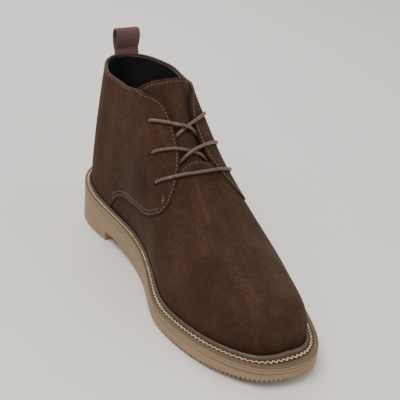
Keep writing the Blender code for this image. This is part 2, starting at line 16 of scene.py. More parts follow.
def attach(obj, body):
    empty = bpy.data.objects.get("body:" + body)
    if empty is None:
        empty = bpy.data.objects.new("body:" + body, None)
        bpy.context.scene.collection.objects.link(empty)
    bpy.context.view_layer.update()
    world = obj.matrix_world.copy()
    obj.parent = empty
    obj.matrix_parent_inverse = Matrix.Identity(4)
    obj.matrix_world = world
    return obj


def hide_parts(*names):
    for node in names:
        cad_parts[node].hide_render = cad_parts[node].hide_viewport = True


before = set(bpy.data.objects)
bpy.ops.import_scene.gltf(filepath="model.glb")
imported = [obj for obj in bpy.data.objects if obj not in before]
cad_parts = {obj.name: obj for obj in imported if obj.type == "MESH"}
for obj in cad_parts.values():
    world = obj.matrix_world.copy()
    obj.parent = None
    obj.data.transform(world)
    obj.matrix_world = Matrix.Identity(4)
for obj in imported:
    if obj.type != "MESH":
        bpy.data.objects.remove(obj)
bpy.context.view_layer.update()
print("solids:", ", ".join(sorted(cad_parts)))

# %% [markdown]
# The shape of the boot comes from its last, the wooden form that a shoemaker pulls leather over.
# It is a family of cross ribs, one for each place along the outline of the sole. Each rib climbs
# from the welt to the crest of the foot. A place on the last is named by two numbers: the outline
# row, from 0 at the heel to 12 at the toe, and the climb, from 0 at the welt to 1 at the crest.
# The sizes and tables are the ones the solids were made from, so the fine surfaces fall on them.
# All sizes are in metres. SKIRT alone is a climb, counted down: the leather tucked behind the welt.

# %% Sizes
SOLE_LENGTH = 0.300
BALL_WIDTH = 0.112
COLLAR_HEIGHT = 0.138
TOE_OFFSET = 0.0033
SOLE_TOP = 0.037
TOE_SPRING = 0.007
HEEL_LENGTH = 0.075
ARCH_RISE = 0.008
ARCH_END = 0.150
FLAT_END = 0.212
WELT_THICK = 0.0030
WELT_RIB = 0.0024
WALL_IN = 0.0018
QUARTER_OUT = 0.0011
FIT_GAP = 0.0003
SKIRT = 0.06
print("sole", SOLE_LENGTH, "x", BALL_WIDTH, "m, collar", COLLAR_HEIGHT, "m high")

# %% [markdown]
# The sole's outline is a smooth closed line through 13 stations on each side, as shares of its
# length and of the width at the ball. Two more tables give the height of the sole's upper edge
# along the boot, and the width of the welt from heel to toe.

# %% Outline, height and welt
OUTLINE = (
    # station, medial, lateral
    (0.000, 0.000, 0.000),
    (0.015, 0.127, 0.119),
    (0.060, 0.262, 0.244),
    (0.150, 0.335, 0.324),
    (0.280, 0.305, 0.316),
    (0.420, 0.289, 0.344),
    (0.550, 0.368, 0.479),
    (0.660, 0.450, 0.545),
    (0.770, 0.439, 0.466),
    (0.870, 0.375, 0.374),
    (0.950, 0.264, 0.269),
    (0.985, 0.164, 0.171),
    (1.000, 0.000, 0.000),
)
SOLE_LINE = ((0.00, 1.000), (0.12, 0.878), (0.25, 0.757), (0.45, 0.580), (0.64, 0.410),
             (0.82, 0.428), (1.00, 0.497))
WELT_LINE = ((0.0, 0.076), (3.0, 0.050), (5.0, 0.039), (7.0, 0.061), (9.0, 0.076), (12.0, 0.130))
print("outline:", len(OUTLINE), "stations a side")

# %% [markdown]
# The last could be sculpted, but a table of ribs is easier to read off a photograph and to change.
# Each row gives the rib's crest and the two handles that bend it on its way up.

# %% Ribs of the last
LAST = (
    # row, crest x, crest z, crest y, flare, rise, reach, turn, lift
    (0.0, 0.223, 1.556, 0.000, 14.0, 0.337, 0.335, 0.0, 0.00),
    (1.0, 0.221, 1.560, 0.000, 6.0, 0.335, 0.321, 48.0, 0.00),
    (2.0, 0.224, 1.556, 0.000, -1.0, 0.331, 0.304, 78.0, 0.00),
    (3.0, 0.237, 1.525, 0.000, 1.0, 0.312, 0.279, 92.0, 0.00),
    (4.0, 0.257, 1.431, 0.000, 6.0, 0.283, 0.257, 102.0, 0.20),
    (4.5, 0.283, 1.261, 0.007, 13.0, 0.268, 0.286, 107.0, 0.40),
    (5.0, 0.338, 1.087, 0.014, 19.5, 0.243, 0.293, 102.0, 0.40),
    (5.5, 0.404, 0.902, 0.017, 22.0, 0.207, 0.262, 93.0, 0.15),
    (6.2, 0.499, 0.697, 0.018, 20.5, 0.178, 0.243, 90.0, 0.00),
    (7.0, 0.619, 0.522, 0.018, 13.5, 0.153, 0.211, 90.0, 0.00),
    (8.0, 0.737, 0.431, 0.020, 12.5, 0.148, 0.208, 90.0, 0.00),
    (9.0, 0.825, 0.386, 0.023, 13.5, 0.144, 0.200, 95.0, 0.00),
    (10.2, 0.880, 0.355, 0.027, 14.3, 0.128, 0.134, 130.0, 0.05),
    (12.0, 0.907, 0.339, 0.029, 14.0, 0.089, 0.088, 180.0, 0.12),
)
COLLAR = ((0.0, 1.004), (1.0, 1.004), (2.0, 1.000), (3.0, 0.993), (4.0, 0.984))
print("last:", len(LAST), "ribs")

# %% [markdown]
# The upper is cut from flat leather, and each cut edge is a line of the pattern. Here the edges are
# lines over the last, each a list of outline rows and climbs: the facing, the foot and the rounded
# nose of a quarter, and the leaf of the tongue. The lace holes follow, with the places where a
# strand dips under the far facing and the row where the lowest strand crosses the vamp.

# %% Pattern edges and lace holes
FACING = ((4.5, 0.655), (4.87, 0.750), (5.2, 0.852), (5.43, 0.889), (5.62, 0.893), (5.82, 0.884),
          (6.0, 0.865), (6.12, 0.830))
QUARTER_FOOT = ((0.0, -0.056), (1.0, -0.056), (2.0, -0.056), (3.0, -0.056), (3.68, -0.056),
                (3.79, 0.0), (3.86, 0.045), (3.97, 0.085), (4.2, 0.130), (4.65, 0.190),
                (5.18, 0.262), (5.5, 0.305), (5.85, 0.380), (6.20, 0.490))
QUARTER_NOSE = ((6.20, 0.490), (6.31, 0.560), (6.345, 0.620), (6.32, 0.690), (6.24, 0.765),
                (6.12, 0.830))
SEAM_ROW = 6.13
TONGUE_CREST = ((0.0, 4.36), (0.25, 4.60), (0.5, 4.80), (0.75, 4.96), (1.0, 5.06))
TONGUE_SIDE = ((0.0, 0.620), (0.35, 0.600), (0.7, 0.535), (1.0, 0.520))
TONGUE_FOOT = 6.45
EYELETS = ((5.09, 0.690), (5.47, 0.635), (5.83, 0.575))
LACE_ENDS = ((5.72, 0.905), (6.06, 0.885))
BAR_ROW = 6.335
print("lace holes:", 2 * len(EYELETS))


# %% [markdown]
# A natural cubic curve goes through each table, so a few rows give a smooth form. The same curve,
# closed, gives the outline of the sole. Blender's own curves could do this too, but their points
# can't be asked for at a given row and climb, and every later piece needs that.

# %% Curves through the tables
def curve(knots, values, at, closed=False):
    k = np.asarray(knots, float)
    v = np.asarray(values, float)
    flat = v.reshape(len(v), -1)
    at = np.asarray(at, float)
    h = np.diff(k)
    n = len(k) - 1 if closed else len(k)
    left = np.zeros((n, n))
    right = np.zeros((n, flat.shape[1]))
    for i in range(n):
        if not closed and i in (0, n - 1):
            left[i, i] = 1.0
            continue
        a = h[i - 1]
        b = h[i]
        left[i, (i - 1) % n] += a
        left[i, i] += 2.0 * (a + b)
        left[i, (i + 1) % n] += b
        following = flat[(i + 1) % n] if closed else flat[i + 1]
        right[i] = 6.0 * ((following - flat[i]) / b - (flat[i] - flat[(i - 1) % n]) / a)
    bend = np.linalg.solve(left, right)
    if closed:
        bend = np.vstack([bend, bend[:1]])
    i = np.clip(np.searchsorted(k, at, side="right") - 1, 0, len(k) - 2)
    step = h[i][:, None]
    a = (k[i + 1] - at)[:, None] / step
    b = (at - k[i])[:, None] / step
    out = a * flat[i] + b * flat[i + 1]
    out = out + ((a ** 3 - a) * bend[i] + (b ** 3 - b) * bend[i + 1]) * step ** 2 / 6.0
    return out.reshape((len(at),) + v.shape[1:])


def table_line(table, at):
    rows = np.array(table)
    return np.interp(at, rows[:, 0], rows[:, 1])


def smooth_step(value, low, high):
    t = np.clip((value - low) / (high - low), 0.0, 1.0)
    return t * t * (3.0 - 2.0 * t)


# %% [markdown]
# A line is measured by the distance run along it. Points read at even distances stay even on the
# leather, however the line bends.

# %% Measures along a line
def distance(points):
    return np.r_[0.0, np.cumsum(np.linalg.norm(np.diff(points, axis=0), axis=1))]


def read_at(at, run, points):
    return np.stack([np.interp(at, run, column) for column in np.asarray(points).T], axis=1)


def unit(vectors):
    return vectors / np.linalg.norm(vectors, axis=1, keepdims=True)


# %% [markdown]
# The two sides of the sole are one closed line, asked by outline row and side: -1 is the inner side
# and 1 the outer. The answer is a point and the direction out of the sole. The heights of the upper
# edge, of the deck under the welt and of the ground side depend on the place along the boot alone.

# %% The sole's outline and heights
ROWS = np.array(OUTLINE)
COUNT = len(ROWS) - 1
MEDIAL = np.c_[ROWS[:, 0] * SOLE_LENGTH, -ROWS[:, 1] * BALL_WIDTH]
LATERAL = np.c_[ROWS[:, 0] * SOLE_LENGTH, ROWS[:, 2] * BALL_WIDTH]
MEDIAL[-1, 1] = TOE_OFFSET
LATERAL[-1, 1] = TOE_OFFSET
LOOP_POINTS = np.vstack([MEDIAL, LATERAL[::-1][1:]])
CHORDS = np.r_[0.0, np.cumsum(np.hypot(*np.diff(LOOP_POINTS, axis=0).T) ** 0.75)]
SOLE_KNOTS = np.array(SOLE_LINE)
WELT_KNOTS = np.array(WELT_LINE)
LAST_ROWS = np.array(LAST)


def outline(u, side):
    u = np.asarray(u, float)
    if side < 0:
        g = np.interp(u, np.arange(COUNT + 1), CHORDS[:COUNT + 1])
    else:
        g = np.interp(2 * COUNT - u, np.arange(COUNT, 2 * COUNT + 1), CHORDS[COUNT:])
    span = CHORDS[-1]
    nudge = span * 1e-5
    here = curve(CHORDS, LOOP_POINTS, g % span, True)
    ahead = curve(CHORDS, LOOP_POINTS, (g + nudge) % span, True)
    behind = curve(CHORDS, LOOP_POINTS, (g - nudge) % span, True)
    run = unit(ahead - behind)
    return here, np.c_[run[:, 1], -run[:, 0]]


def sole_line(x):
    share = np.clip(np.asarray(x) / SOLE_LENGTH, 0.0, 1.0)
    return curve(SOLE_KNOTS[:, 0], SOLE_KNOTS[:, 1], share) * SOLE_TOP


def deck(x):
    return sole_line(x) - WELT_THICK


def sole_bottom(x):
    run = np.clip((np.asarray(x) - FLAT_END) / (SOLE_LENGTH - FLAT_END), 0.0, None)
    return TOE_SPRING * run ** 2


def welt_width(u):
    return curve(WELT_KNOTS[:, 0], WELT_KNOTS[:, 1], u) * BALL_WIDTH


FINE_ROWS = np.linspace(0.0, COUNT, 600)
SIDE_REACH = outline(FINE_ROWS, 1)[0][:, 1].max() + outline(FINE_ROWS, -1)[0][:, 1].min()
ORIGIN = np.array([SOLE_LENGTH / 2, SIDE_REACH / 2, 0.0])
print("the frame's origin on the sole:", ORIGIN.round(4))


# %% [markdown]
# Each rib is a cubic curve with four points: its foot beside the welt, a handle that rises from the
# foot, a handle that reaches in from the crest, and the crest. Four points are the fewest that
# give a full side, a hollow waist and a rounded instep. Below the welt the wall drops straight.

# %% A point of the last
def rib_point(u, v, side):
    edge, out = outline(u, side)
    foot = edge - out * welt_width(u)[:, None]
    start = np.c_[foot, sole_line(foot[:, 0]) + WELT_RIB]
    row = curve(LAST_ROWS[:, 0], LAST_ROWS[:, 1:], u)
    flare = np.radians(row[:, 3])
    turn = np.radians(row[:, 6])
    crest = np.c_[row[:, 0] * SOLE_LENGTH, row[:, 2] * BALL_WIDTH, row[:, 1] * COLLAR_HEIGHT]
    rise = np.c_[out * np.sin(flare)[:, None], np.cos(flare)]
    reach = unit(np.c_[np.cos(turn), -side * np.sin(turn), row[:, 7]])
    low = start + rise * (row[:, 4] * COLLAR_HEIGHT)[:, None]
    high = crest - reach * (row[:, 5] * BALL_WIDTH)[:, None]
    t = np.clip(v, 0.0, 1.0)[:, None]
    body = (1 - t) ** 3 * start + 3 * (1 - t) ** 2 * t * low
    body = body + 3 * (1 - t) * t * t * high + t ** 3 * crest
    drop = (WELT_RIB + WELT_THICK - FIT_GAP) / SKIRT
    body[:, 2] += np.clip(v, None, 0.0) * drop
    return body


# Places on the centre line are worked out once, so the two sides meet in the same points
def last(u, v, side):
    u = np.asarray(u, float)
    v = np.asarray(v, float)
    points = rib_point(u, v, side)
    centre = (u <= 0.0) | (u >= COUNT) | (v >= 1.0)
    if side > 0 and centre.any():
        points[centre] = rib_point(u[centre], v[centre], -1)
    return points - ORIGIN


ROW_STEP = 0.01
CLIMB_STEP = 0.004


# The directions along a row, up the climb and out of the last
def directions(u, v, side):
    along_row = rib_point(u + ROW_STEP, v, side) - rib_point(u - ROW_STEP, v, side)
    v_mid = np.clip(v, CLIMB_STEP, 1.0 - CLIMB_STEP)
    up = rib_point(u, v_mid + CLIMB_STEP, side) - rib_point(u, v_mid - CLIMB_STEP, side)
    out = unit(np.cross(along_row, up) * -side)
    return along_row / (2 * ROW_STEP), up / (2 * CLIMB_STEP), out


print("crest at the ball:", last([7.0], [1.0], -1)[0].round(4))


# %% [markdown]
# Worn or boxed, a soft boot has shallow hollows and swells. They are placed one by one: each row of the
# table is one soft trough or ridge at a place on the last, with its direction, its length, its width and
# its depth. A cloth simulation would give folds too, but not these ones in these places.
# Suede, lining, stitches and laces all ask the same function, so the layers stay nested.

# %% Soft creases
# One row and one whole climb in metres, near enough to measure along a pattern line
PATTERN_SIZE = np.array([0.025, 0.100])
CREASES = (
    # side, row, climb, direction in degrees from the row, length, width, depth
    (-1, 4.55, 0.44, 70.0, 0.030, 0.010, 0.0014),
    (-1, 4.95, 0.40, 78.0, 0.026, 0.008, -0.0009),
    (-1, 3.60, 0.36, 95.0, 0.030, 0.012, 0.0010),
    (-1, 5.60, 0.42, 40.0, 0.016, 0.007, 0.0009),
    (1, 4.50, 0.44, 70.0, 0.030, 0.010, 0.0011),
    (1, 4.95, 0.38, 80.0, 0.026, 0.009, -0.0006),
    (1, 3.50, 0.34, 95.0, 0.030, 0.012, 0.0007),
    (-1, 6.95, 0.78, 20.0, 0.022, 0.007, 0.0008),
    (-1, 7.50, 0.50, 60.0, 0.024, 0.009, 0.0009),
    (1, 7.30, 0.66, 35.0, 0.026, 0.008, 0.0006),
    (-1, 8.30, 0.66, 80.0, 0.022, 0.010, -0.0005),
    (1, 8.60, 0.60, 100.0, 0.022, 0.010, 0.0005),
)


# The sum of soft streaks of a table at the given places of the last
def streaks(table, u, v, side):
    total = np.zeros(np.shape(u))
    for where, row, climb, angle, length, width, amount in table:
        if where == side:
            along_row = (u - row) * PATTERN_SIZE[0]
            up = (v - climb) * PATTERN_SIZE[1]
            turn = math.radians(angle)
            run = along_row * math.cos(turn) + up * math.sin(turn)
            off = up * math.cos(turn) - along_row * math.sin(turn)
            total = total + amount * np.exp(-((run / length) ** 2) - (off / width) ** 2)
    return total


# Creases fade out towards the welt and towards the crest
def crease(u, v, side):
    depth = -streaks(CREASES, u, v, side)
    return depth * smooth_step(v, 0.0, 0.12) * smooth_step(1.0 - v, 0.0, 0.06)


# A place over the last with a lift along its outward direction
def over_last(u, v, side, lift):
    u = np.asarray(u, float)
    v = np.asarray(v, float)
    out = directions(u, v, side)[2]
    return last(u, v, side) + out * (np.asarray(lift) + crease(u, v, side))[:, None]


print("creases:", len(CREASES))


# %% [markdown]
# The collar is nearly level, so its climb is found by halving until the rib has the right height.
# Each other edge is a smooth line through its table. A line can also be moved sideways over the
# last, which is how a seam keeps its distance from an edge.

# %% Edges over the last
HALVINGS = 30


def collar_climb(u, side):
    goal = table_line(COLLAR, u) * COLLAR_HEIGHT
    low = np.full(len(u), 0.2)
    high = np.full(len(u), 0.9)
    for _ in range(HALVINGS):
        mid = (low + high) / 2
        above = rib_point(u, mid, side)[:, 2] > goal
        high = np.where(above, mid, high)
        low = np.where(above, low, mid)
    return (low + high) / 2


def top_edge(side):
    rows = np.arange(0.0, COLLAR[-1][0] + 0.25, 0.5)
    return np.vstack([np.c_[rows, collar_climb(rows, side)], np.array(FACING)])


# Points at shares of the length of a pattern edge
def along(points, shares, smooth=True):
    p = np.asarray(points, float)
    if smooth:
        d = distance(p * PATTERN_SIZE)
        p = curve(d, p, np.linspace(0.0, d[-1], 30 * len(p)))
    d = distance(p * PATTERN_SIZE)
    return read_at(np.asarray(shares) * d[-1], d, p)


# Move a pattern line sideways over the last by a distance, positive to its left seen from outside
def inset_line(line, side, away):
    u, v = line[:, 0], np.clip(line[:, 1], 0.0, 1.0)
    row_run, climb_run, out = directions(u, v, side)
    run = np.gradient(line, axis=0)
    ahead = unit(row_run * run[:, :1] + climb_run * run[:, 1:])
    move = np.cross(out, ahead) * away * -side
    rr = (row_run ** 2).sum(1)
    cc = (climb_run ** 2).sum(1)
    rc = (row_run * climb_run).sum(1)
    ra = (row_run * move).sum(1)
    ca = (climb_run * move).sum(1)
    det = rr * cc - rc ** 2
    return line + np.c_[(ra * cc - ca * rc) / det, (ca * rr - ra * rc) / det]


print("climb of the collar at the back:", round(float(collar_climb([0.0], -1)[0]), 3))


# %% [markdown]
# Shader maths reads best as plain sums. This small class wraps a socket, so `1 - mask` or
# `patch * 0.3 + grain` adds the Math nodes by itself.

# %% Shader sums
class Wire:
    def __init__(self, finish, socket):
        self.finish = finish
        self.socket = socket

    def maths(self, operation, other, swap=False):
        pair = (other, self) if swap else (self, other)
        return self.finish.node("ShaderNodeMath", {"operation": operation}, dict(enumerate(pair)))

    def __add__(self, other):
        return self.maths("ADD", other)

    __radd__ = __add__

    def __sub__(self, other):
        return self.maths("SUBTRACT", other)

    def __rsub__(self, other):
        return self.maths("SUBTRACT", other, swap=True)

    def __mul__(self, other):
        return self.maths("MULTIPLY", other)

    __rmul__ = __mul__


# %% [markdown]
# A finish is one material with its nodes. Every node comes from one method, which takes its type,
# its settings and what goes into its sockets. The shorter methods under it are the nodes that most
# of these finishes need. What is the same all over a surface is set on the shader's own socket.

# %% Finishes
class Finish:
    def __init__(self, name, **plain):
        self.material = bpy.data.materials.new(name)
        self.material.use_nodes = True
        self.tree = self.material.node_tree
        self.shader = self.tree.nodes["Principled BSDF"]
        for socket, value in plain.items():
            self.feed(self.shader.inputs[socket.replace("_", " ").title().replace("Ior", "IOR")], value)

    def feed(self, socket, value):
        if isinstance(value, Wire):
            self.tree.links.new(value.socket, socket)
        elif isinstance(value, (tuple, list)) and len(value) == 3 and socket.type == "RGBA":
            socket.default_value = (*value, 1.0)
        else:
            socket.default_value = value

    def node(self, kind, settings=None, sockets=None, output=0):
        node = self.tree.nodes.new(kind)
        for name, value in (settings or {}).items():
            if name == "stops":
                ramp = node.color_ramp.elements
                while len(ramp) < len(value):
                    ramp.new(0.5)
                for stop, (place, shade) in zip(ramp, value):
                    stop.position = place
                    stop.color = (shade, shade, shade, 1.0)
            else:
                setattr(node, name, value)
        for name, value in (sockets or {}).items():
            self.feed(node.inputs[name], value)
        return Wire(self, node.outputs[output])

    def place(self, scale=(1.0, 1.0, 1.0), turn=(0.0, 0.0, 0.0)):
        point = self.node("ShaderNodeTexCoord", output="Object")
        return self.node("ShaderNodeMapping", None, {"Vector": point, "Scale": scale, "Rotation": turn})

    def noise(self, where, scale, detail=2.0, rough=0.5):
        sockets = {"Vector": where, "Scale": scale, "Detail": detail, "Roughness": rough}
        return self.node("ShaderNodeTexNoise", None, sockets)

    def ramp(self, value, *stops):
        return self.node("ShaderNodeValToRGB", {"stops": stops}, {"Fac": value})

    def mix(self, share, low, high):
        node_sockets = {0: share, 6: low, 7: high}
        return self.node("ShaderNodeMix", {"data_type": "RGBA"}, node_sockets, 2)

    def attribute(self, name):
        return self.node("ShaderNodeAttribute", {"attribute_name": name}, None, "Fac")

    def uv(self, axis):
        place = self.node("ShaderNodeUVMap", {"uv_map": "UVMap"})
        return self.node("ShaderNodeSeparateXYZ", None, {"Vector": place}, axis)

    def wave(self, turns):
        return self.node("ShaderNodeMath", {"operation": "SINE"}, {0: turns * (2.0 * math.pi)})

    def colour(self, wire):
        self.feed(self.shader.inputs["Base Color"], wire)

    def roughness(self, wire):
        self.feed(self.shader.inputs["Roughness"], wire)

    def bump(self, height, distance, strength=1.0):
        sockets = {"Height": height, "Distance": distance, "Strength": strength}
        self.feed(self.shader.inputs["Normal"], self.node("ShaderNodeBump", None, sockets))


# %% [markdown]
# Suede is leather with its fibres raised. Light sinks in, so it has almost no shine, but the nap
# leans this way and that, and brushed places look lighter or darker. The colour therefore changes
# in three sizes at once: hand-sized clouds, finger strokes, and single tufts about half a
# millimetre across. Real hairs would look the same from here and cost far more. A little sheen
# lightens the suede at grazing angles, as the fibres do. The scale of a noise is in waves to the
# metre, so 17 gives clouds of a hand's breadth and 1300 gives tufts.

# %% Suede
BROWN = (0.0395, 0.0173, 0.0094)
BROWN_LIGHT = (0.0720, 0.0360, 0.0212)
BROWN_DARK = (0.0225, 0.0098, 0.0060)
RIM_BROWN = (0.0900, 0.0530, 0.0360)
NAP_TINT = (0.62, 0.42, 0.33)


def make_suede(name, marked):
    base, light, dark = BROWN, BROWN_LIGHT, BROWN_DARK
    suede = Finish(name, sheen_weight=0.055, sheen_roughness=0.5, sheen_tint=NAP_TINT,
                   specular_ior_level=0.16)
    point = suede.place()
    clouds = suede.ramp(suede.noise(point, 17.0, 3.0, 0.55), (0.34, 0.0), (0.66, 1.0))
    stroke_place = suede.place((34.0, 120.0, 60.0), (0.3, 0.5, 0.7))
    strokes = suede.ramp(suede.noise(stroke_place, 1.0, 3.0, 0.6), (0.42, 0.0), (0.70, 1.0))
    smears = suede.ramp(suede.noise(point, 60.0, 3.0, 0.6), (0.46, 0.0), (0.68, 1.0))
    mottle = suede.noise(point, 300.0, 3.0, 0.7)
    tufts = suede.noise(point, 1300.0, 2.0, 0.65)
    shade = suede.mix(clouds * 0.85, dark, base)
    shade = suede.mix(strokes * 0.26 + smears * 0.26, shade, light)
    if marked:
        # Marks of turned nap and of painted light and shade, lighter and darker
        brush = suede.attribute("brush") * (mottle * 1.6 + 0.2)
        lighter = suede.node("ShaderNodeClamp", None, {"Value": brush})
        darker = suede.node("ShaderNodeClamp", None, {"Value": brush * -1.0})
        shade = suede.mix(lighter * 0.55, shade, light)
        shade = suede.mix(darker * 0.70, shade, dark)
    flecks = (
        # where from, ramp start, ramp end, strength, colour
        (mottle, (0.50, 0.0), (0.74, 1.0), 0.45, light),
        (mottle, (0.30, 1.0), (0.50, 0.0), 0.45, dark),
        (tufts, (0.42, 0.0), (0.72, 1.0), 0.30, light),
        (tufts, (0.25, 1.0), (0.46, 0.0), 0.50, dark),
    )
    for noise, start, end, strength, tint in flecks:
        shade = suede.mix(suede.ramp(noise, start, end) * strength, shade, tint)
    if marked:
        near = suede.ramp(suede.attribute("edge"), (0.0, 1.0), (1.0, 0.0))
        shade = suede.mix(near * 0.50, shade, dark)
        shade = suede.mix(suede.attribute("rim") * 0.75, shade, RIM_BROWN)
    suede.colour(shade)
    suede.roughness(tufts * 0.10 + 0.86)
    swell = suede.noise(point, 70.0, 2.0, 0.5)
    suede.bump(tufts * 0.30 + mottle * 0.70 + swell * 0.55, 0.0012, 0.60)
    return suede.material


suede = make_suede("suede", marked=True)
tongue_suede = make_suede("tongue suede", marked=False)
print("suede finishes:", suede.name, "and", tongue_suede.name)


# %% [markdown]
# The lining is smooth black leather, polished by the foot, with a fine grain. The sock on the
# insole is the same leather, a little duller.

# %% Lining leather
def make_lining(name, shade, rough):
    lining = Finish(name, specular_ior_level=0.5)
    point = lining.place()
    grain = lining.node("ShaderNodeTexVoronoi", {"feature": "SMOOTH_F1"},
                        {"Vector": point, "Scale": 900.0, "Smoothness": 0.4})
    cloud = lining.noise(point, 40.0, 2.0, 0.5)
    lining.colour(lining.mix(cloud, shade, tuple(c * 1.7 for c in shade)))
    lining.roughness(cloud * 0.16 + rough)
    lining.bump(grain + lining.noise(point, 90.0) * 0.8, 0.0005, 0.30)
    return lining.material


lining_leather = make_lining("black lining leather", shade=(0.0135, 0.0130, 0.0140), rough=0.24)
sock_leather = make_lining("black sock leather", shade=(0.012, 0.011, 0.011), rough=0.42)
print("leathers:", lining_leather.name, "and", sock_leather.name)


# %% [markdown]
# The sole is moulded rubber the colour of crepe. It is nearly even, with a faint cloud, a few specks and
# the grain of its mould. It is painted darker in the lip groove and along the top of its wall under the
# welt, as painted shade, and a mark that comes with its mesh says where.

# %% Rubber
RUBBER = ((0.238, 0.164, 0.094), (0.302, 0.213, 0.129))
RUBBER_PAINTED_SHADE = (0.135, 0.093, 0.055)
RUBBER_SPECK = (0.15, 0.100, 0.055)


def make_rubber():
    rubber = Finish("crepe rubber", specular_ior_level=0.35)
    point = rubber.place()
    cloud = rubber.noise(point, 26.0, 3.0, 0.5)
    specks = rubber.ramp(rubber.noise(point, 700.0, 2.0, 0.6), (0.50, 0.0), (0.78, 1.0))
    # Painted shade: darker in the lip groove and under the welt's overhang
    shade = rubber.mix(rubber.attribute("band"), rubber.mix(cloud, *RUBBER), RUBBER_PAINTED_SHADE)
    rubber.colour(rubber.mix(specks * 0.25, shade, RUBBER_SPECK))
    rubber.roughness(cloud * 0.15 + 0.52)
    rubber.bump(rubber.noise(point, 480.0, 3.0, 0.6), 0.0004, 0.35)
    return rubber.material


crepe_rubber = make_rubber()
print("sole:", crepe_rubber.name)

# %% [markdown]
# The welt is a brown strip, dull on its margin and polished on the rib beside the suede, and the groove
# of the stitches is painted darker as painted shade. Its trimmed side has the colour of the sole. The
# marks `rib` and `side` come with its mesh, so one material can follow its section.

# %% Welt colours
MARGIN = ((0.098, 0.064, 0.034), (0.140, 0.095, 0.053))
GROOVE_PAINTED_SHADE = (0.048, 0.030, 0.016)
RIB_BROWN = (0.092, 0.058, 0.041)
TRIMMED_SIDE = (0.262, 0.184, 0.108)


def make_welt_finish():
    welt = Finish("brown welt", specular_ior_level=0.45)
    point = welt.place()
    cloud = welt.noise(point, 60.0, 3.0, 0.55)
    rib = welt.attribute("rib")
    shade = welt.mix(cloud, *MARGIN)
    # Painted shade: the groove of the stitches is painted darker than the margin
    shade = welt.mix(welt.ramp(rib, (0.20, 0.0), (0.45, 1.0)), shade, GROOVE_PAINTED_SHADE)
    shade = welt.mix(welt.ramp(rib, (0.60, 0.0), (0.90, 1.0)), shade, RIB_BROWN)
    welt.colour(welt.mix(welt.attribute("side"), shade, TRIMMED_SIDE))
    welt.roughness(0.60 - rib * 0.24 + cloud * 0.06)
    welt.bump(welt.noise(point, 800.0, 3.0, 0.6), 0.0003, 0.35)
    return welt.material


welt_brown = make_welt_finish()
print("welt:", welt_brown.name)


# %% [markdown]
# Sewing thread is twisted, and its colour is painted lighter on the strands and darker between them, a
# painted shade in the twist. The seams of the upper are brown. The welt is sewn with cream thread, and
# the darker gold-brown patches on it are painted shade.

# %% Threads
def make_thread(name, shade, dark):
    thread = Finish(name, specular_ior_level=0.4, roughness=0.55)
    point = thread.place()
    strand = thread.noise(point, 1500.0, 2.0, 0.5)
    shaded_patches = thread.ramp(thread.noise(point, 160.0, 2.0, 0.6), (0.40, 0.0), (0.62, 1.0))
    # Painted shade: darker between the twisted strands and in patches along the thread
    thread.colour(thread.mix(strand * 0.6 + shaded_patches * 0.4, dark, shade))
    thread.bump(strand, 0.0003, 0.5)
    return thread.material


brown_thread = make_thread("brown thread", (0.205, 0.142, 0.108), (0.095, 0.060, 0.045))
cream_thread = make_thread("cream thread", (0.800, 0.670, 0.440), (0.420, 0.270, 0.095))
print("threads:", brown_thread.name, "and", cream_thread.name)


# %% [markdown]
# The lace is a round waxed braid. Two families of slanted strands cross each other, so two sine waves
# over the lace's own UV map, in millimetres along it and in turns round it, give the braid. Its crests
# are painted lighter and the gaps between them darker, as painted light and shade, and patches of painted
# highlight lie on the wax.

# %% Lace finish
BRAID_SHADED_AND_LIT = ((0.062, 0.032, 0.026), (0.125, 0.070, 0.057))
LACE_PAINTED_HIGHLIGHT = (0.23, 0.145, 0.122)
STRANDS_PER_MM = 0.42
STRANDS_ROUND = 4.0


def make_lace_finish():
    lace = Finish("waxed lace", specular_ior_level=0.55, coat_roughness=0.3)
    length = lace.uv("X")
    around = lace.uv("Y")
    left = lace.wave(length * STRANDS_PER_MM + around * STRANDS_ROUND)
    right = lace.wave(length * STRANDS_PER_MM - around * STRANDS_ROUND)
    braid = left * right * 0.5 + 0.5
    wax = lace.noise(lace.place(), 260.0, 3.0, 0.6)
    # Painted highlight in patches on the wax, over a braid painted lighter on its crests and darker
    # between them
    shine = lace.ramp(wax, (0.52, 0.0), (0.72, 1.0)) * 0.5
    lace.colour(lace.mix(shine, lace.mix(braid, *BRAID_SHADED_AND_LIT), LACE_PAINTED_HIGHLIGHT))
    lace.roughness(wax * 0.2 + 0.27)
    lace.bump(braid + wax * 0.4, 0.0003, 0.45)
    return lace.material


waxed_lace = make_lace_finish()
print("lace:", waxed_lace.name)

# %% [markdown]
# The pull loop is webbing, woven in ribs across its width. The ribs, which its mesh has as well, are
# painted lighter on their crests and darker between them, as painted light and shade, and the finer yarns
# between them are only bumps.

# %% Webbing finish
RIBS_SHADED_AND_LIT = ((0.054, 0.025, 0.021), (0.122, 0.062, 0.055))
WEAVE_FUZZ = (0.145, 0.082, 0.076)
RIB_PITCH = 0.00115
YARN_PITCH = 0.00055


def make_webbing_finish():
    webbing = Finish("ribbed webbing", specular_ior_level=0.35)
    ribs = webbing.wave(webbing.uv("X") * (0.001 / RIB_PITCH))
    yarns = webbing.wave(webbing.uv("Y") * (0.001 / YARN_PITCH))
    fuzz = webbing.noise(webbing.place(), 900.0, 2.0, 0.6)
    weave = ribs * 0.5 + 0.5
    # Painted light and shade: lighter on the rib crests, darker between the ribs
    webbing.colour(webbing.mix(fuzz * 0.35, webbing.mix(weave, *RIBS_SHADED_AND_LIT), WEAVE_FUZZ))
    webbing.roughness(fuzz * 0.1 + 0.62)
    webbing.bump(weave * 1.3 + yarns * 0.15 + fuzz * 0.2, 0.0004, 0.5)
    return webbing.material


webbing = make_webbing_finish()
print("webbing:", webbing.name)


# %% [markdown]
# Every piece ends as one plain mesh object. These helpers put a mesh in the scene, turn a bmesh
# into an object, bake a piece's modifiers into its mesh, and write marks on its points, which the
# finishes read as attributes.

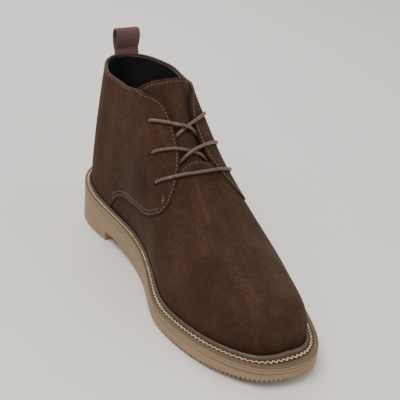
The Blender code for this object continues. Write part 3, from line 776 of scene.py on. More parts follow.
# %% From mesh to object
def link(name, mesh):
    obj = bpy.data.objects.new(name, mesh)
    bpy.context.scene.collection.objects.link(obj)
    return obj


def settle(obj):
    bpy.context.view_layer.update()
    deps = bpy.context.evaluated_depsgraph_get()
    mesh = bpy.data.meshes.new_from_object(obj.evaluated_get(deps))
    obj.modifiers.clear()
    obj.data = mesh
    return obj


def object_from(bm, name):
    mesh = bpy.data.meshes.new(name)
    bm.to_mesh(mesh)
    bm.free()
    return link(name, mesh)


def add_marks(mesh, marks):
    for label, values in marks.items():
        mesh.attributes.new(label, "FLOAT", "POINT")
        mesh.attributes[label].data.foreach_set("value", values)


# %% [markdown]
# A hand or a brush turns the nap and leaves a mark, lighter or darker than the rest. Some of these marks
# are painted light and shade as well: lighter patches where light falls on the leather and darker ones
# where it lies in shade. Noise alone would look alike everywhere, so these marks are set one by one, most
# of them near the facing, on the quarters and over the toe. They use the same table as the creases, with
# lightness for depth.

# %% Brush marks
# Each mark is partly turned nap and partly painted light and shade; a positive lightness paints lighter,
# a negative one darker
BRUSHED_AND_PAINTED_LIGHT = (
    # side, row, climb, direction in degrees from the row, length, width, lightness
    (-1, 5.02, 0.60, 60.0, 0.012, 0.0030, 0.9),
    (-1, 4.60, 0.55, 30.0, 0.026, 0.0140, 0.8),
    (-1, 3.55, 0.30, 92.0, 0.034, 0.0050, 0.9),
    (-1, 4.75, 0.42, 80.0, 0.018, 0.0100, -1.0),
    (-1, 5.40, 0.44, 120.0, 0.014, 0.0060, -0.8),
    (-1, 4.20, 0.50, 100.0, 0.030, 0.0050, 0.5),
    (-1, 5.35, 0.52, 15.0, 0.020, 0.0040, 0.6),
    (-1, 6.72, 0.905, 160.0, 0.006, 0.0016, 2.4),
    (-1, 6.90, 0.885, 160.0, 0.005, 0.0016, 2.2),
    (-1, 7.20, 0.75, 150.0, 0.014, 0.0040, 0.7),
    (-1, 6.90, 0.50, 110.0, 0.024, 0.0080, 0.6),
    (-1, 8.10, 0.55, 80.0, 0.020, 0.0120, -0.9),
    (-1, 9.20, 0.80, 170.0, 0.020, 0.0060, 1.0),
    (-1, 9.80, 0.62, 150.0, 0.016, 0.0040, 0.8),
    (-1, 10.8, 0.72, 140.0, 0.016, 0.0080, 0.5),
    (1, 5.10, 0.55, 50.0, 0.020, 0.0060, 0.8),
    (1, 4.30, 0.50, 95.0, 0.030, 0.0080, 0.7),
    (1, 3.20, 0.30, 85.0, 0.030, 0.0060, 0.8),
    (1, 4.90, 0.36, 70.0, 0.020, 0.0100, -0.9),
    (1, 7.60, 0.60, 100.0, 0.024, 0.0080, 0.7),
    (1, 8.80, 0.75, 20.0, 0.022, 0.0060, 0.8),
    (1, 10.1, 0.60, 40.0, 0.018, 0.0080, -0.8),
    (-1, 1.40, 0.45, 88.0, 0.030, 0.0080, 0.6),
    (1, 1.20, 0.40, 92.0, 0.028, 0.0080, 0.6),
)
print("brush marks:", len(BRUSHED_AND_PAINTED_LIGHT))


# %% [markdown]
# A leather layer starts as a grid of places on the last. The grids of the two sides are welded at
# the centre line, and each point is lifted along the mesh's own direction. Solidify with a small
# Bevel then gives the sheet its thickness and its softened cut edge. Each layer could be modelled
# by hand, but then the layers would not nest.

# %% Sheets over the last
# Each patch is a grid of rows and climbs, its side, its lift and its named marks
def sheet_mesh(name, patches):
    points = []
    lifts = []
    marks = {label: [] for label in patches[0][3]}
    faces = []
    start = 0
    for pattern, side, lift, shades in patches:
        n, m = pattern.shape[:2]
        u = pattern[..., 0].ravel()
        v = pattern[..., 1].ravel()
        points.append(last(u, v, side))
        lifts.append(np.broadcast_to(lift, (n, m)).ravel() + crease(u, v, side))
        for label in marks:
            marks[label].append(np.broadcast_to(shades[label], (n, m)).ravel())
        index = start + np.arange(n * m).reshape(n, m)
        quad = [index[:-1, :-1], index[1:, :-1], index[1:, 1:], index[:-1, 1:]]
        quad = np.stack(quad if side < 0 else quad[::-1], axis=-1).reshape(-1, 4)
        faces.append(quad)
        start += n * m
    points = np.vstack(points)
    base, first, same = np.unique(np.round(points, 9), axis=0, return_index=True, return_inverse=True)
    same = same.ravel()
    faces = same[np.vstack(faces)]
    across = np.cross(base[faces[:, 2]] - base[faces[:, 0]], base[faces[:, 3]] - base[faces[:, 1]])
    out = np.zeros_like(base)
    for corner in range(4):
        np.add.at(out, faces[:, corner], across)
    base = base + unit(out) * np.concatenate(lifts)[first][:, None]
    polygons = []
    for face in faces.tolist():
        kept = [c for i, c in enumerate(face) if c != face[i - 1]]
        if len(kept) > 2:
            polygons.append(kept)
    mesh = bpy.data.meshes.new(name)
    mesh.from_pydata(base.tolist(), [], polygons)
    add_marks(mesh, {label: np.concatenate(values)[first] for label, values in marks.items()})
    mesh.shade_smooth()
    return mesh


CUT_CORNER = math.radians(55.0)
ROUND_STEPS = 3


def leather(name, patches, thickness, rounding, finishes):
    obj = link(name, sheet_mesh(name, patches))
    solid = obj.modifiers.new("thickness", "SOLIDIFY")
    solid.thickness = thickness
    solid.offset = -1.0
    solid.use_even_offset = False
    solid.material_offset = len(finishes) - 1
    for finish in finishes:
        obj.data.materials.append(finish)
    bevel = obj.modifiers.new("edge", "BEVEL")
    bevel.width = rounding
    bevel.segments = ROUND_STEPS
    bevel.limit_method = "ANGLE"
    bevel.angle_limit = CUT_CORNER
    settle(obj)
    obj.data.shade_smooth()
    print(name, len(obj.data.polygons), "faces")
    return obj


# %% [markdown]
# The quarter wraps the heel, laces over the tongue and ends in a rounded nose on the vamp. It could
# be cut from a bigger sheet with a Boolean, but the cut edge would be ragged. So its grid is filled
# between its four edges: foot, top, back seam and nose.

# %% Quarter grid
QUARTER_COLUMNS = 190
QUARTER_CLIMBS = 66
CROWDED = np.array([0.12, 0.25, 0.40, 0.60, 0.80])


def quarter_grid(side):
    s = np.linspace(0.0, 1.0, QUARTER_COLUMNS)
    s = np.unique(np.r_[s, s[1] * CROWDED])
    t = np.linspace(0.0, 1.0, QUARTER_CLIMBS)
    foot = along(QUARTER_FOOT, s, smooth=False)
    top = along(top_edge(side), s)
    nose = along(QUARTER_NOSE, t)
    back = np.c_[np.zeros(len(t)), np.linspace(foot[0, 1], top[0, 1], len(t))]
    a = s[:, None, None]
    b = t[None, :, None]
    grid = (1 - b) * foot[:, None] + b * top[:, None] + (1 - a) * back[None] + a * nose[None]
    grid -= (1 - a) * (1 - b) * foot[0] + a * (1 - b) * foot[-1]
    grid -= (1 - a) * b * top[0] + a * b * top[-1]
    return grid, s, t


print("quarter grid:", quarter_grid(-1)[0].shape[:2])

# %% [markdown]
# The two quarters are sewn together behind the heel in a closed seam, which shows as a fine furrow.
# The marks tell the finish how near a point is to a cut edge, where the suede is darker, and where
# the collar is folded over a narrow band.

# %% Quarters
SEAM_FURROW = 0.0006
SEAM_WIDTH = 0.0009
RIM_WIDTH = 0.0016
EDGE_SHADE = 0.004
OPEN_FOOT = 3.7


def quarter_patch(side):
    grid, s, t = quarter_grid(side)
    places = last(grid[..., 0].ravel(), grid[..., 1].ravel(), side).reshape(grid.shape[:2] + (3,))
    up = np.linalg.norm(np.diff(places, axis=1), axis=2)
    climb = np.c_[np.zeros(len(s)), np.cumsum(up, axis=1)]
    run = np.linalg.norm(np.diff(places, axis=0), axis=2)
    row = np.vstack([np.zeros(len(t)), np.cumsum(run, axis=0)])
    gap = np.minimum(climb[:, -1:] - climb, row[-1:] - row)
    gap = np.minimum(gap, np.where(grid[..., 0] > OPEN_FOOT, climb, 1.0))
    furrow = SEAM_FURROW * np.exp(-(row / SEAM_WIDTH) ** 2)
    fold = 1.0 - smooth_step(climb[:, -1:] - climb, RIM_WIDTH * 0.7, RIM_WIDTH)
    marks = {
        "edge": np.clip(gap / EDGE_SHADE, 0.0, 1.0),
        "rim": fold * (1.0 - smooth_step(grid[..., 0], 4.4, 5.0)),
        "brush": streaks(BRUSHED_AND_PAINTED_LIGHT, grid[..., 0], grid[..., 1], side),
    }
    return grid, side, QUARTER_OUT - furrow, marks


quarters = leather("quarters", [quarter_patch(-1), quarter_patch(1)],
                   thickness=0.0017, rounding=0.00050, finishes=[suede])


# %% [markdown]
# The vamp is one piece from the toe back under the quarters, without a seam at the toe. Its back
# part stays well below the facing, and from the throat on it closes over the crest. A skirt below
# the welt's edge tucks its foot behind the welt.

# %% Vamp
VAMP_START = 3.3
UNDER_EDGE = 0.10
THROAT_BAND = 0.02
VAMP_ROWS = (56, 190)
VAMP_CLIMBS = 74


def vamp_patch(side):
    edge = top_edge(side)
    edge[:, 1] -= UNDER_EDGE
    back = np.linspace(VAMP_START, SEAM_ROW, VAMP_ROWS[0])
    rows = np.r_[back[:-1], np.linspace(SEAM_ROW, COUNT, VAMP_ROWS[1])]
    under = curve(edge[:, 0], edge[:, 1], np.clip(rows, 0.0, FACING[-1][0]))
    closed = smooth_step(rows, SEAM_ROW - THROAT_BAND, SEAM_ROW + THROAT_BAND)
    top = under * (1 - closed) + closed
    shares = np.linspace(0.0, 1.0, VAMP_CLIMBS)
    grid = np.zeros((len(rows), len(shares) + 2, 2))
    grid[..., 0] = rows[:, None]
    grid[:, 0, 1] = -SKIRT
    grid[:, 1, 1] = -SKIRT / 2
    grid[:, 2:, 1] = shares[None] * top[:, None]
    brush = streaks(BRUSHED_AND_PAINTED_LIGHT, grid[..., 0], grid[..., 1], side)
    return grid, side, 0.0, {"edge": 1.0, "rim": 0.0, "brush": brush}


vamp = leather("vamp", [vamp_patch(-1), vamp_patch(1)],
               thickness=0.0010, rounding=0.00035, finishes=[suede])

# %% [markdown]
# The lining lies inside the quarters and is what shows through the collar. It reaches the rim at
# the collar and ends further down under the facings, where the tongue hides it.

# %% Lining
LINING_ROWS = 130
LINING_CLIMBS = 50
LINING_LIFT = -0.0007
LINING_SET_BACK = ((4.2, 0.005), (4.7, 0.045))


def lining_patch(side):
    edge = top_edge(side)
    rows = np.linspace(0.0, SEAM_ROW, LINING_ROWS)
    top = curve(edge[:, 0], edge[:, 1], np.minimum(rows, FACING[-1][0]))
    top = top - table_line(LINING_SET_BACK, rows)
    shares = np.linspace(0.0, 1.0, LINING_CLIMBS)
    grid = np.zeros((len(rows), len(shares) + 1, 2))
    grid[..., 0] = rows[:, None]
    grid[:, 0, 1] = -SKIRT
    grid[:, 1:, 1] = shares[None] * top[:, None]
    return grid, side, LINING_LIFT, {}


lining = leather("lining", [lining_patch(-1), lining_patch(1)],
                 thickness=0.0011, rounding=0.00040, finishes=[lining_leather])


# %% [markdown]
# The tongue is a long suede leaf sewn to the vamp at the throat, with lining leather on its back.
# Between the facings it swells up a little, and under them it is pressed down, which leaves the
# lace its way. At the throat it is pared thin, so that it slips under the vamp.

# %% Tongue
TONGUE_MIDDLE = -0.0010
TONGUE_PRESSED = -0.0050
TONGUE_TOP = -0.0024
TONGUE_PARED = 0.0016
SWELL_CLIMBS = (0.83, 0.98)
PRESSED_ROWS = (4.85, 5.20)
PARED_ROWS = (SEAM_ROW - 0.05, SEAM_ROW + 0.15)
TONGUE_GRID = (90, 44)


def tongue_lift(u, v):
    rise = smooth_step(v, *SWELL_CLIMBS)
    pressed = TONGUE_TOP + (TONGUE_PRESSED - TONGUE_TOP) * smooth_step(u, *PRESSED_ROWS)
    lift = pressed + (TONGUE_MIDDLE - pressed) * rise
    return lift - TONGUE_PARED * smooth_step(u, *PARED_ROWS)


def tongue_patch(side):
    s = np.linspace(0.0, 1.0, TONGUE_GRID[0])
    t = np.linspace(0.0, 1.0, TONGUE_GRID[1])
    crest = curve(*zip(*TONGUE_CREST), t)
    low = curve(*zip(*TONGUE_SIDE), s)
    grid = np.zeros((len(s), len(t), 2))
    grid[..., 0] = (1 - s[:, None]) * crest[None] + s[:, None] * TONGUE_FOOT
    grid[..., 1] = low[:, None] + t[None] * (1 - low[:, None])
    return grid, side, tongue_lift(grid[..., 0], grid[..., 1]), {}


tongue = leather("tongue_leaf", [tongue_patch(-1), tongue_patch(1)],
                 thickness=0.0017, rounding=0.00045, finishes=[tongue_suede, lining_leather])


# %% [markdown]
# The lace holes are punched, with no metal eyelets. A pin at each place, turned to the leather's
# own direction, cuts through the quarter and the lining behind it. A Boolean is the punch here.

# %% Lace holes
HOLE_RADIUS = 0.0017
PIN_LENGTH = 0.012


def punch(obj, pins):
    cut = obj.modifiers.new("holes", "BOOLEAN")
    cut.operation = "DIFFERENCE"
    cut.solver = "EXACT"
    cut.object = pins
    settle(obj)
    obj.data.shade_smooth()


def hole_pins():
    bm = bmesh.new()
    for side in (-1, 1):
        for u, v in EYELETS:
            centre = over_last([u], [v], side, [0.0])[0]
            out = Vector(directions(np.array([u]), np.array([v]), side)[2][0])
            turn = out.to_track_quat("Z", "Y").to_matrix().to_4x4()
            spot = Matrix.Translation(Vector(centre)) @ turn
            bmesh.ops.create_cone(bm, cap_ends=True, segments=24, radius1=HOLE_RADIUS,
                                  radius2=HOLE_RADIUS, depth=PIN_LENGTH, matrix=spot)
    return object_from(bm, "hole_pins")


pins = hole_pins()
for layer in (quarters, lining):
    punch(layer, pins)
    print(layer.name, "punched:", len(layer.data.polygons), "faces")
bpy.data.objects.remove(pins, do_unlink=True)


# %% [markdown]
# A strip round the sole, such as the welt or the outsole's wall, is a stack of loops. Each loop
# follows the outline at its own inset and height. Many even steps round the edge keep it free of
# facets. A bevelled curve would be quicker, but its section couldn't change along the sole.

# %% Steps round the sole
EDGE_STEPS = 620


def even_rows(side):
    d = distance(outline(FINE_ROWS, side)[0])
    return np.interp(np.linspace(0.0, d[-1], EDGE_STEPS), d, FINE_ROWS)


EDGE_ROWS = {side: even_rows(side) for side in (-1, 1)}


# Outline rows, points and outward directions once round: medial heel to toe, lateral toe to heel
def around():
    rows = np.r_[EDGE_ROWS[-1], EDGE_ROWS[1][-2:0:-1]]
    medial = outline(EDGE_ROWS[-1], -1)
    lateral = outline(EDGE_ROWS[1][-2:0:-1], 1)
    return rows, np.vstack([medial[0], lateral[0]]), np.vstack([medial[1], lateral[1]])


ROUND_ROWS, ROUND_EDGE, ROUND_OUT = around()
ROUND_RUN = distance(ROUND_EDGE)
print("round the sole:", round(ROUND_RUN[-1], 3), "m in", len(ROUND_ROWS), "steps")

# %% Loops, rings and lids
SHARP_CORNER = math.radians(38.0)


def round_loop(inset, height):
    flat = ROUND_EDGE - ROUND_OUT * np.broadcast_to(inset, len(ROUND_EDGE))[:, None]
    return np.c_[flat, height(flat[:, 0])] - ORIGIN


def ring_faces(loops, count, closed):
    faces = []
    for k in range(loops if closed else loops - 1):
        a = k * count
        b = ((k + 1) % loops) * count
        for i in range(count):
            j = (i + 1) % count
            faces.append((a + i, a + j, b + j, b + i))
    return faces


def lid_faces(start, count, up):
    faces = []
    for i in range(count // 2):
        quad = [i, i + 1, (count - i - 1) % count, (count - i) % count]
        quad = [start + c for k, c in enumerate(quad) if c != quad[k - 1]]
        faces.append(tuple(quad) if up else tuple(quad[::-1]))
    return faces


def outward(mesh):
    bm = bmesh.new()
    bm.from_mesh(mesh)
    bmesh.ops.recalc_face_normals(bm, faces=bm.faces)
    bm.to_mesh(mesh)
    bm.free()
    mesh.shade_smooth()
    mesh.set_sharp_from_angle(angle=SHARP_CORNER)


# A stack of loops is one piece: a closed stack is a ring, and an open one gets two lids
def stacked(name, loops, finish, marks, closed=False):
    count = len(ROUND_ROWS)
    faces = ring_faces(len(loops), count, closed)
    if not closed:
        faces += lid_faces((len(loops) - 1) * count, count, True) + lid_faces(0, count, False)
    mesh = bpy.data.meshes.new(name)
    mesh.from_pydata(np.vstack(loops).tolist(), [], faces)
    add_marks(mesh, {label: np.repeat(values, count) for label, values in marks.items()})
    outward(mesh)
    mesh.materials.append(finish)
    return link(name, mesh)


# %% [markdown]
# The storm welt lies on the edge of the sole and is sewn to it. From outside in it has a trimmed
# side, a flat margin, a groove where the stitches lie, and a rounded rib that leans on the suede.
# It is wide at the toe and narrow at the waist, so the margin and the rib are shares of its width.

# %% Parts of the welt
GROOVE_DEPTH = 0.0008
MARGIN_SHARE = 0.37
RIB_SHARE = 0.30
RIB_WIDTH = 0.0031
RIB_PRESS = 0.0003
VAMP_GAP = FIT_GAP + 0.0004
# The gap is wider behind row 4, where the quarter comes down to the welt over the vamp
SUEDE_GAP = ((4.1, VAMP_GAP + QUARTER_OUT), (4.7, VAMP_GAP))


def welt_parts():
    width = welt_width(ROUND_ROWS) - table_line(SUEDE_GAP, ROUND_ROWS) + RIB_PRESS
    return width, width * MARGIN_SHARE, np.minimum(width * RIB_SHARE, RIB_WIDTH)


print("welt:", round(welt_parts()[0].min(), 4), "to", round(welt_parts()[0].max(), 4), "m wide")

# %% [markdown]
# The welt's section is two short tables, one over the margin and one over the rib. Each row is one
# loop round the sole, with the two marks that its finish reads.

# %% Welt
def make_welt():
    width, margin, rib = welt_parts()
    outer = (
        # share of the margin in from the edge, height over the welt edge, rib, side
        (0.00, -WELT_THICK + FIT_GAP, 0.0, 1.0),
        (0.00, -0.0020, 0.0, 1.0),
        (-0.027, -0.0014, 0.0, 1.0),
        (-0.033, -0.0011, 0.0, 0.0),
        (-0.016, -0.0005, 0.0, 0.0),
        (0.055, -0.0001, 0.0, 0.0),
        (0.22, 0.0001, 0.0, 0.0),
        (0.55, 0.0001, 0.0, 0.0),
        (0.88, 0.0000, 0.0, 0.0),
        (0.95, -0.7 * GROOVE_DEPTH, 0.3, 0.0),
        (1.03, -GROOVE_DEPTH, 0.5, 0.0),
    )
    inner = (
        # share of the rib in from its foot, height over the welt edge, rib, side
        (-0.16, -GROOVE_DEPTH, 0.5, 0.0),
        (-0.06, -0.5 * GROOVE_DEPTH, 0.6, 0.0),
        (0.03, 0.35 * WELT_RIB, 1.0, 0.0),
        (0.14, 0.74 * WELT_RIB, 1.0, 0.0),
        (0.34, 0.96 * WELT_RIB, 1.0, 0.0),
        (0.57, 1.03 * WELT_RIB, 1.0, 0.0),
        (0.82, 0.92 * WELT_RIB, 1.0, 0.0),
        (1.07, 0.50 * WELT_RIB, 1.0, 0.0),
        (1.07, -WELT_THICK + FIT_GAP, 0.0, 0.0),
    )
    section = outer + inner
    insets = [margin * row[0] for row in outer] + [width - rib * (1.0 - row[0]) for row in inner]
    loops = [round_loop(inset, lambda x: sole_line(x) + row[1]) for inset, row in zip(insets, section)]
    marks = {"rib": [row[2] for row in section], "side": [row[3] for row in section]}
    return stacked("storm_welt", loops, welt_brown, marks, closed=True)


storm_welt = make_welt()
print("storm_welt", len(storm_welt.data.polygons), "faces")

# %% [markdown]
# The outsole is moulded in one piece. Its wall has a thin lip groove under the welt, and the bottom
# edge of the forefoot is cut into small teeth, which the photograph shows round the toe. The teeth
# are a wave in the lowest loops, since a Boolean for each of them would be slow.

# %% Teeth of the tread
TOOTH_PITCH = 0.0032
TOOTH_DEPTH = 0.0009
TOOTH_INSET = 0.0011
TOOTH_START = (0.175, 0.205)


# Between 0 on a tooth and 1 in the gap after it, along the forefoot only
def tooth_gaps():
    wave = np.cos(2.0 * math.pi * ROUND_RUN / TOOTH_PITCH)
    return smooth_step(wave, -0.1, 0.6) * smooth_step(ROUND_EDGE[:, 0], *TOOTH_START)


print("gaps between teeth:", int((np.diff(tooth_gaps() > 0.5)).sum() / 2))

# %% Outsole
LIP_DEPTH = 0.0004


def make_outsole():
    gaps = tooth_gaps()
    section = (
        # inset, share from the bottom to the deck, lift, tooth share, painted shade
        (0.0044, 0.0, 0.0, 0.0, 0.0),
        (0.0030, 0.0, 0.0, 1.0, 0.0),
        (0.0009, 0.0, 0.0, 1.0, 0.0),
        (0.0002, 0.0, 0.0005, 1.0, 0.0),
        (0.0, 0.0, 0.0014, 0.55, 0.0),
        (0.0, 0.0, 0.0022, 0.0, 0.0),
        (0.0, 0.0, 0.0028, 0.0, 0.0),
        (0.0001, 0.33, 0.0, 0.0, 0.0),
        (0.0001, 0.66, 0.0, 0.0, 0.0),
        (0.0, 1.0, -0.0046, 0.0, 0.0),
        (0.15 * LIP_DEPTH, 1.0, -0.0038, 0.0, 0.0),
        (LIP_DEPTH, 1.0, -0.0034, 0.0, 0.4),
        (LIP_DEPTH, 1.0, -0.0029, 0.0, 0.4),
        (0.0, 1.0, -0.0025, 0.0, 0.2),
        (-0.0002, 1.0, -0.0016, 0.0, 0.1),
        (-0.0001, 1.0, -0.0005, 0.0, 0.1),
        (0.0006, 1.0, 0.0, 0.0, 0.2),
    )
    loops = []
    for inset, share, lift, tooth, _ in section:
        loop = round_loop(inset + gaps * tooth * TOOTH_INSET, lambda x: x * 0.0)
        x = loop[:, 0] + ORIGIN[0]
        loop[:, 2] = sole_bottom(x) * (1 - share) + deck(x) * share + lift + gaps * tooth * TOOTH_DEPTH
        loops.append(loop)
    return stacked("rubber_outsole", loops, crepe_rubber, {"band": [row[4] for row in section]})


rubber_outsole = make_outsole()
print("outsole before the cuts:", len(rubber_outsole.data.polygons), "faces")

# %% [markdown]
# Under the boot an arch joins the heel to the forefoot, and shallow grooves cross both, as in the
# source. One cutter mesh holds them all, so a single Boolean makes the underside.

# %% Profile of the arch
ARCH_STEPS = 24
GROOVE_WIDTH = 0.0050
TREAD_DEPTH = 0.0020
GROOVE_PITCH = 0.0135
GROOVE_RIM = 0.008


def arch_profile():
    profile = [(HEEL_LENGTH, -ARCH_RISE), (HEEL_LENGTH, ARCH_RISE)]
    for t in np.linspace(0.0, 1.0, ARCH_STEPS + 1)[1:-1]:
        x = HEEL_LENGTH + (ARCH_END - HEEL_LENGTH) * t
        profile.append((x, ARCH_RISE * (0.5 + 0.5 * math.cos(math.pi * t))))
    return profile + [(ARCH_END, 0.0), (ARCH_END, -ARCH_RISE)]


def add_arch(bm):
    profile = arch_profile()
    rings = []
    for y in (-BALL_WIDTH, BALL_WIDTH):
        rings.append([bm.verts.new(Vector((x, y, z)) - Vector(ORIGIN)) for x, z in profile])
    bm.faces.new(rings[0])
    bm.faces.new(rings[1][::-1])
    for i in range(len(profile)):
        j = (i + 1) % len(profile)
        bm.faces.new((rings[0][j], rings[0][i], rings[1][i], rings[1][j]))
    bmesh.ops.recalc_face_normals(bm, faces=bm.faces)


# %% Cross grooves
def add_box(bm, low, high):
    middle = (Vector(low) + Vector(high)) / 2 - Vector(ORIGIN)
    size = Vector(high) - Vector(low)
    spot = Matrix.Translation(middle) @ Matrix.Diagonal((*size, 1.0))
    bmesh.ops.create_cube(bm, size=1.0, matrix=spot)


def add_grooves(bm):
    heel = np.arange(GROOVE_PITCH, HEEL_LENGTH - GROOVE_PITCH, GROOVE_PITCH)
    tread = np.arange(ARCH_END + GROOVE_PITCH, SOLE_LENGTH - 2 * GROOVE_PITCH, GROOVE_PITCH)
    for start in np.r_[heel, tread]:
        ends = [start, start + GROOVE_WIDTH]
        low = np.interp(ends, MEDIAL[:, 0], MEDIAL[:, 1]).max() + GROOVE_RIM
        high = np.interp(ends, LATERAL[:, 0], LATERAL[:, 1]).min() - GROOVE_RIM
        top = float(sole_bottom(start + GROOVE_WIDTH / 2)) + TREAD_DEPTH
        if high - low > 2 * GROOVE_RIM:
            add_box(bm, (start, low, -GROOVE_PITCH), (ends[1], high, top))


tread = bmesh.new()
add_arch(tread)
add_grooves(tread)
cutter = object_from(tread, "tread_cutter")
punch(rubber_outsole, cutter)
rubber_outsole.data.set_sharp_from_angle(angle=SHARP_CORNER)
bpy.data.objects.remove(cutter, do_unlink=True)
print("rubber_outsole", len(rubber_outsole.data.polygons), "faces")


# %% [markdown]
# Inside, a thin leather sock covers the insole board. It is a stack of loops as well, a little
# higher round its edge and dished inwards, because the foot presses it down.

# %% Sock
INSOLE_THICK = 0.0031


def make_sock():
    wall = welt_width(ROUND_ROWS) + WALL_IN + FIT_GAP
    section = (
        # inset from the wall, height over the deck
        (0.0012, FIT_GAP),
        (0.0006, FIT_GAP + 0.0008),
        (0.0006, INSOLE_THICK),
        (0.0014, INSOLE_THICK + 0.0005),
        (0.0045, INSOLE_THICK),
        (0.0120, INSOLE_THICK - 0.0006),
    )
    loops = [round_loop(wall + inset, lambda x: deck(x) + height) for inset, height in section]
    return stacked("sock", loops, sock_leather, {})


sock = make_sock()
print("sock", len(sock.data.polygons), "faces")


# %% [markdown]
# The pull loop and the lace are both a section swept along a route. A bevelled curve does that too,
# but here the sweep also writes the run and the way round into a UV map, in which the braid and
# the ribs are drawn.

# %% Sweep along a route
def swept(name, rings, run, way_round, finish):
    count = len(rings[0])
    bm = bmesh.new()
    uv_layer = bm.loops.layers.uv.new("UVMap")
    rows = [[bm.verts.new(point) for point in ring] for ring in rings]
    for i in range(len(rows) - 1):
        for j in range(count):
            k = (j + 1) % count
            face = bm.faces.new((rows[i][j], rows[i + 1][j], rows[i + 1][k], rows[i][k]))
            corners = ((i, j), (i + 1, j), (i + 1, j + 1), (i, j + 1))
            for corner, (a, b) in zip(face.loops, corners):
                corner[uv_layer].uv = (run[a] * 1000.0, way_round[b])
    bm.faces.new(rows[0][::-1])
    bm.faces.new(rows[-1])
    bmesh.ops.recalc_face_normals(bm, faces=bm.faces)
    obj = object_from(bm, name)
    obj.data.shade_smooth()
    obj.data.materials.append(finish)
    return obj


# %% [markdown]
# The pull loop is a strip of ribbed webbing. It is folded into an open bow, and its two ends are
# pressed together and sewn behind the back of the collar. Its side view is one smooth route: up
# the front leg, round the bow, which is widest near its top, and down the rear leg.

# %% Route of the pull loop
LOOP_WIDTH = 0.021
LOOP_THICK = 0.0015
LOOP_LEG = 0.019
LOOP_RISE = 0.020
LOOP_BOW = 0.0055
LOOP_LEAN = 0.0020
LOOP_GAP = 0.0004
LOOP_STEPS = 260
BACK_RIM = COLLAR_HEIGHT * COLLAR[0][1]


def loop_route():
    climbs = np.linspace(0.3, 0.62, 60)
    back = rib_point(np.zeros(len(climbs)), climbs, -1)
    heights = np.linspace(BACK_RIM - LOOP_LEG, BACK_RIM - 0.001, 8)
    places = np.interp(heights, back[:, 2], back[:, 0]) - QUARTER_OUT - LOOP_GAP - LOOP_THICK / 2
    front = list(zip(places, heights))
    rear = [(x - LOOP_THICK, z) for x, z in front]
    half_rise = 0.42 * LOOP_RISE
    centre_x = (front[-1][0] + rear[-1][0]) / 2 - LOOP_LEAN
    centre_z = BACK_RIM + LOOP_RISE - half_rise - LOOP_THICK / 2
    bow = []
    for turn in np.radians(np.linspace(-55.0, 235.0, 17)):
        sway = math.cos(turn) * (LOOP_BOW - LOOP_THICK / 2) * (0.78 + 0.32 * math.sin(turn))
        bow.append((centre_x + sway, centre_z + math.sin(turn) * half_rise))
    knots = np.array(front + bow + rear[::-1])
    d = distance(knots)
    at = np.linspace(0.0, d[-1], LOOP_STEPS)
    return curve(d, knots, at), at


print("webbing strip:", round(loop_route()[1][-1], 4), "m long")

# %% [markdown]
# The strip's section has two flat faces and two rounded edges. The faces rise and fall with the
# ribs, and the edges stay even.

# %% Pull loop
RIB_HEIGHT = 0.00010
EDGE_TURNS = (0.8, 1.57, 2.34)


# Across the strip, and 1 on its outer face, -1 on its inner face and between them on an edge
def strip_section():
    half = LOOP_WIDTH / 2
    bend = LOOP_THICK / 2
    widths = np.linspace(-half + bend, half - bend, 15)
    section = [(y, 1.0) for y in widths]
    section += [(half - bend + bend * math.sin(a), math.cos(a)) for a in EDGE_TURNS]
    section += [(y, -1.0) for y in widths[::-1]]
    return section + [(-half + bend - bend * math.sin(a), -math.cos(a)) for a in EDGE_TURNS]


def make_pull_loop():
    route, run = loop_route()
    ahead = unit(np.gradient(route, axis=0))
    normal = np.c_[ahead[:, 1], -ahead[:, 0]]
    rib = RIB_HEIGHT * np.sin(2.0 * math.pi * run / RIB_PITCH)
    section = strip_section()
    rings = []
    for i in range(len(route)):
        ring = []
        for y, face in section:
            lift = face * (LOOP_THICK / 2 + (rib[i] if abs(face) == 1.0 else 0.0))
            x, z = route[i] + normal[i] * lift
            ring.append((x - ORIGIN[0], y, z))
        rings.append(ring)
    way_round = [y * 1000.0 for y, _ in section + section[:1]]
    obj = swept("webbing_loop", rings, run, way_round, webbing)
    obj.data.set_sharp_from_angle(angle=math.radians(60.0))
    return obj


webbing_loop = make_pull_loop()
print("webbing_loop", len(webbing_loop.data.polygons), "faces")

# %% [markdown]
# One lace holds the boot shut. It comes up through the top hole of the inner side, crosses the tongue,
# goes under the far facing to the next hole, and so on to the bar over the vamp and back up. A simulated
# rope would slip, so its places are listed one by one: a side, a row, a climb and a lift over the last. A
# climb past 1 is a place beyond the crest, on the other side.

# %% Strands of the lace
LACE_RADIUS = 0.00135
OVER_QUARTER = QUARTER_OUT + LACE_RADIUS + 0.0001
UNDER_FACING = -0.0034
ON_TONGUE = 0.0005
RIDE_OVER = 0.0028
RIDE_SPAN = 0.080


# One strand rises from its hole, bows over the tongue and dips under the far facing
def strand(side, eyelet, end, ride):
    u, v = EYELETS[eyelet]
    edge = 2.0 - end[1] + 0.012
    knots = (
        # climb, lift
        (v, -0.0010),
        (v + 0.010, 0.0014),
        (v + 0.035, OVER_QUARTER),
        (0.870, OVER_QUARTER),
        (0.930, 0.0014),
        (1.000, ON_TONGUE),
        (edge - 0.055, 0.0001),
        (edge - 0.022, -0.0012),
        (edge, -0.0022),
        (edge + 0.030, UNDER_FACING),
    )
    climbs = np.r_[v, v + 0.010, np.linspace(v + 0.035, edge + 0.030, 24)]
    lifts = table_line(knots, climbs)
    lifts += ride * np.exp(-((climbs - 1.0) / RIDE_SPAN) ** 2)
    rows = u + (end[0] - u) * (1.0 - (1.0 - (climbs - v) / (edge - v)) ** 2)
    places = [(side, u, v - 0.004, UNDER_FACING)]
    for row, climb, lift in zip(rows, climbs, lifts):
        over = climb > 1.0
        places.append((-side if over else side, row, 2.0 - climb if over else climb, lift))
    return places


# %% [markdown]
# Out of sight each strand runs on under the facing to the next hole down. The lowest strand is a
# bar straight over the end of the vamp, the same on both sides.

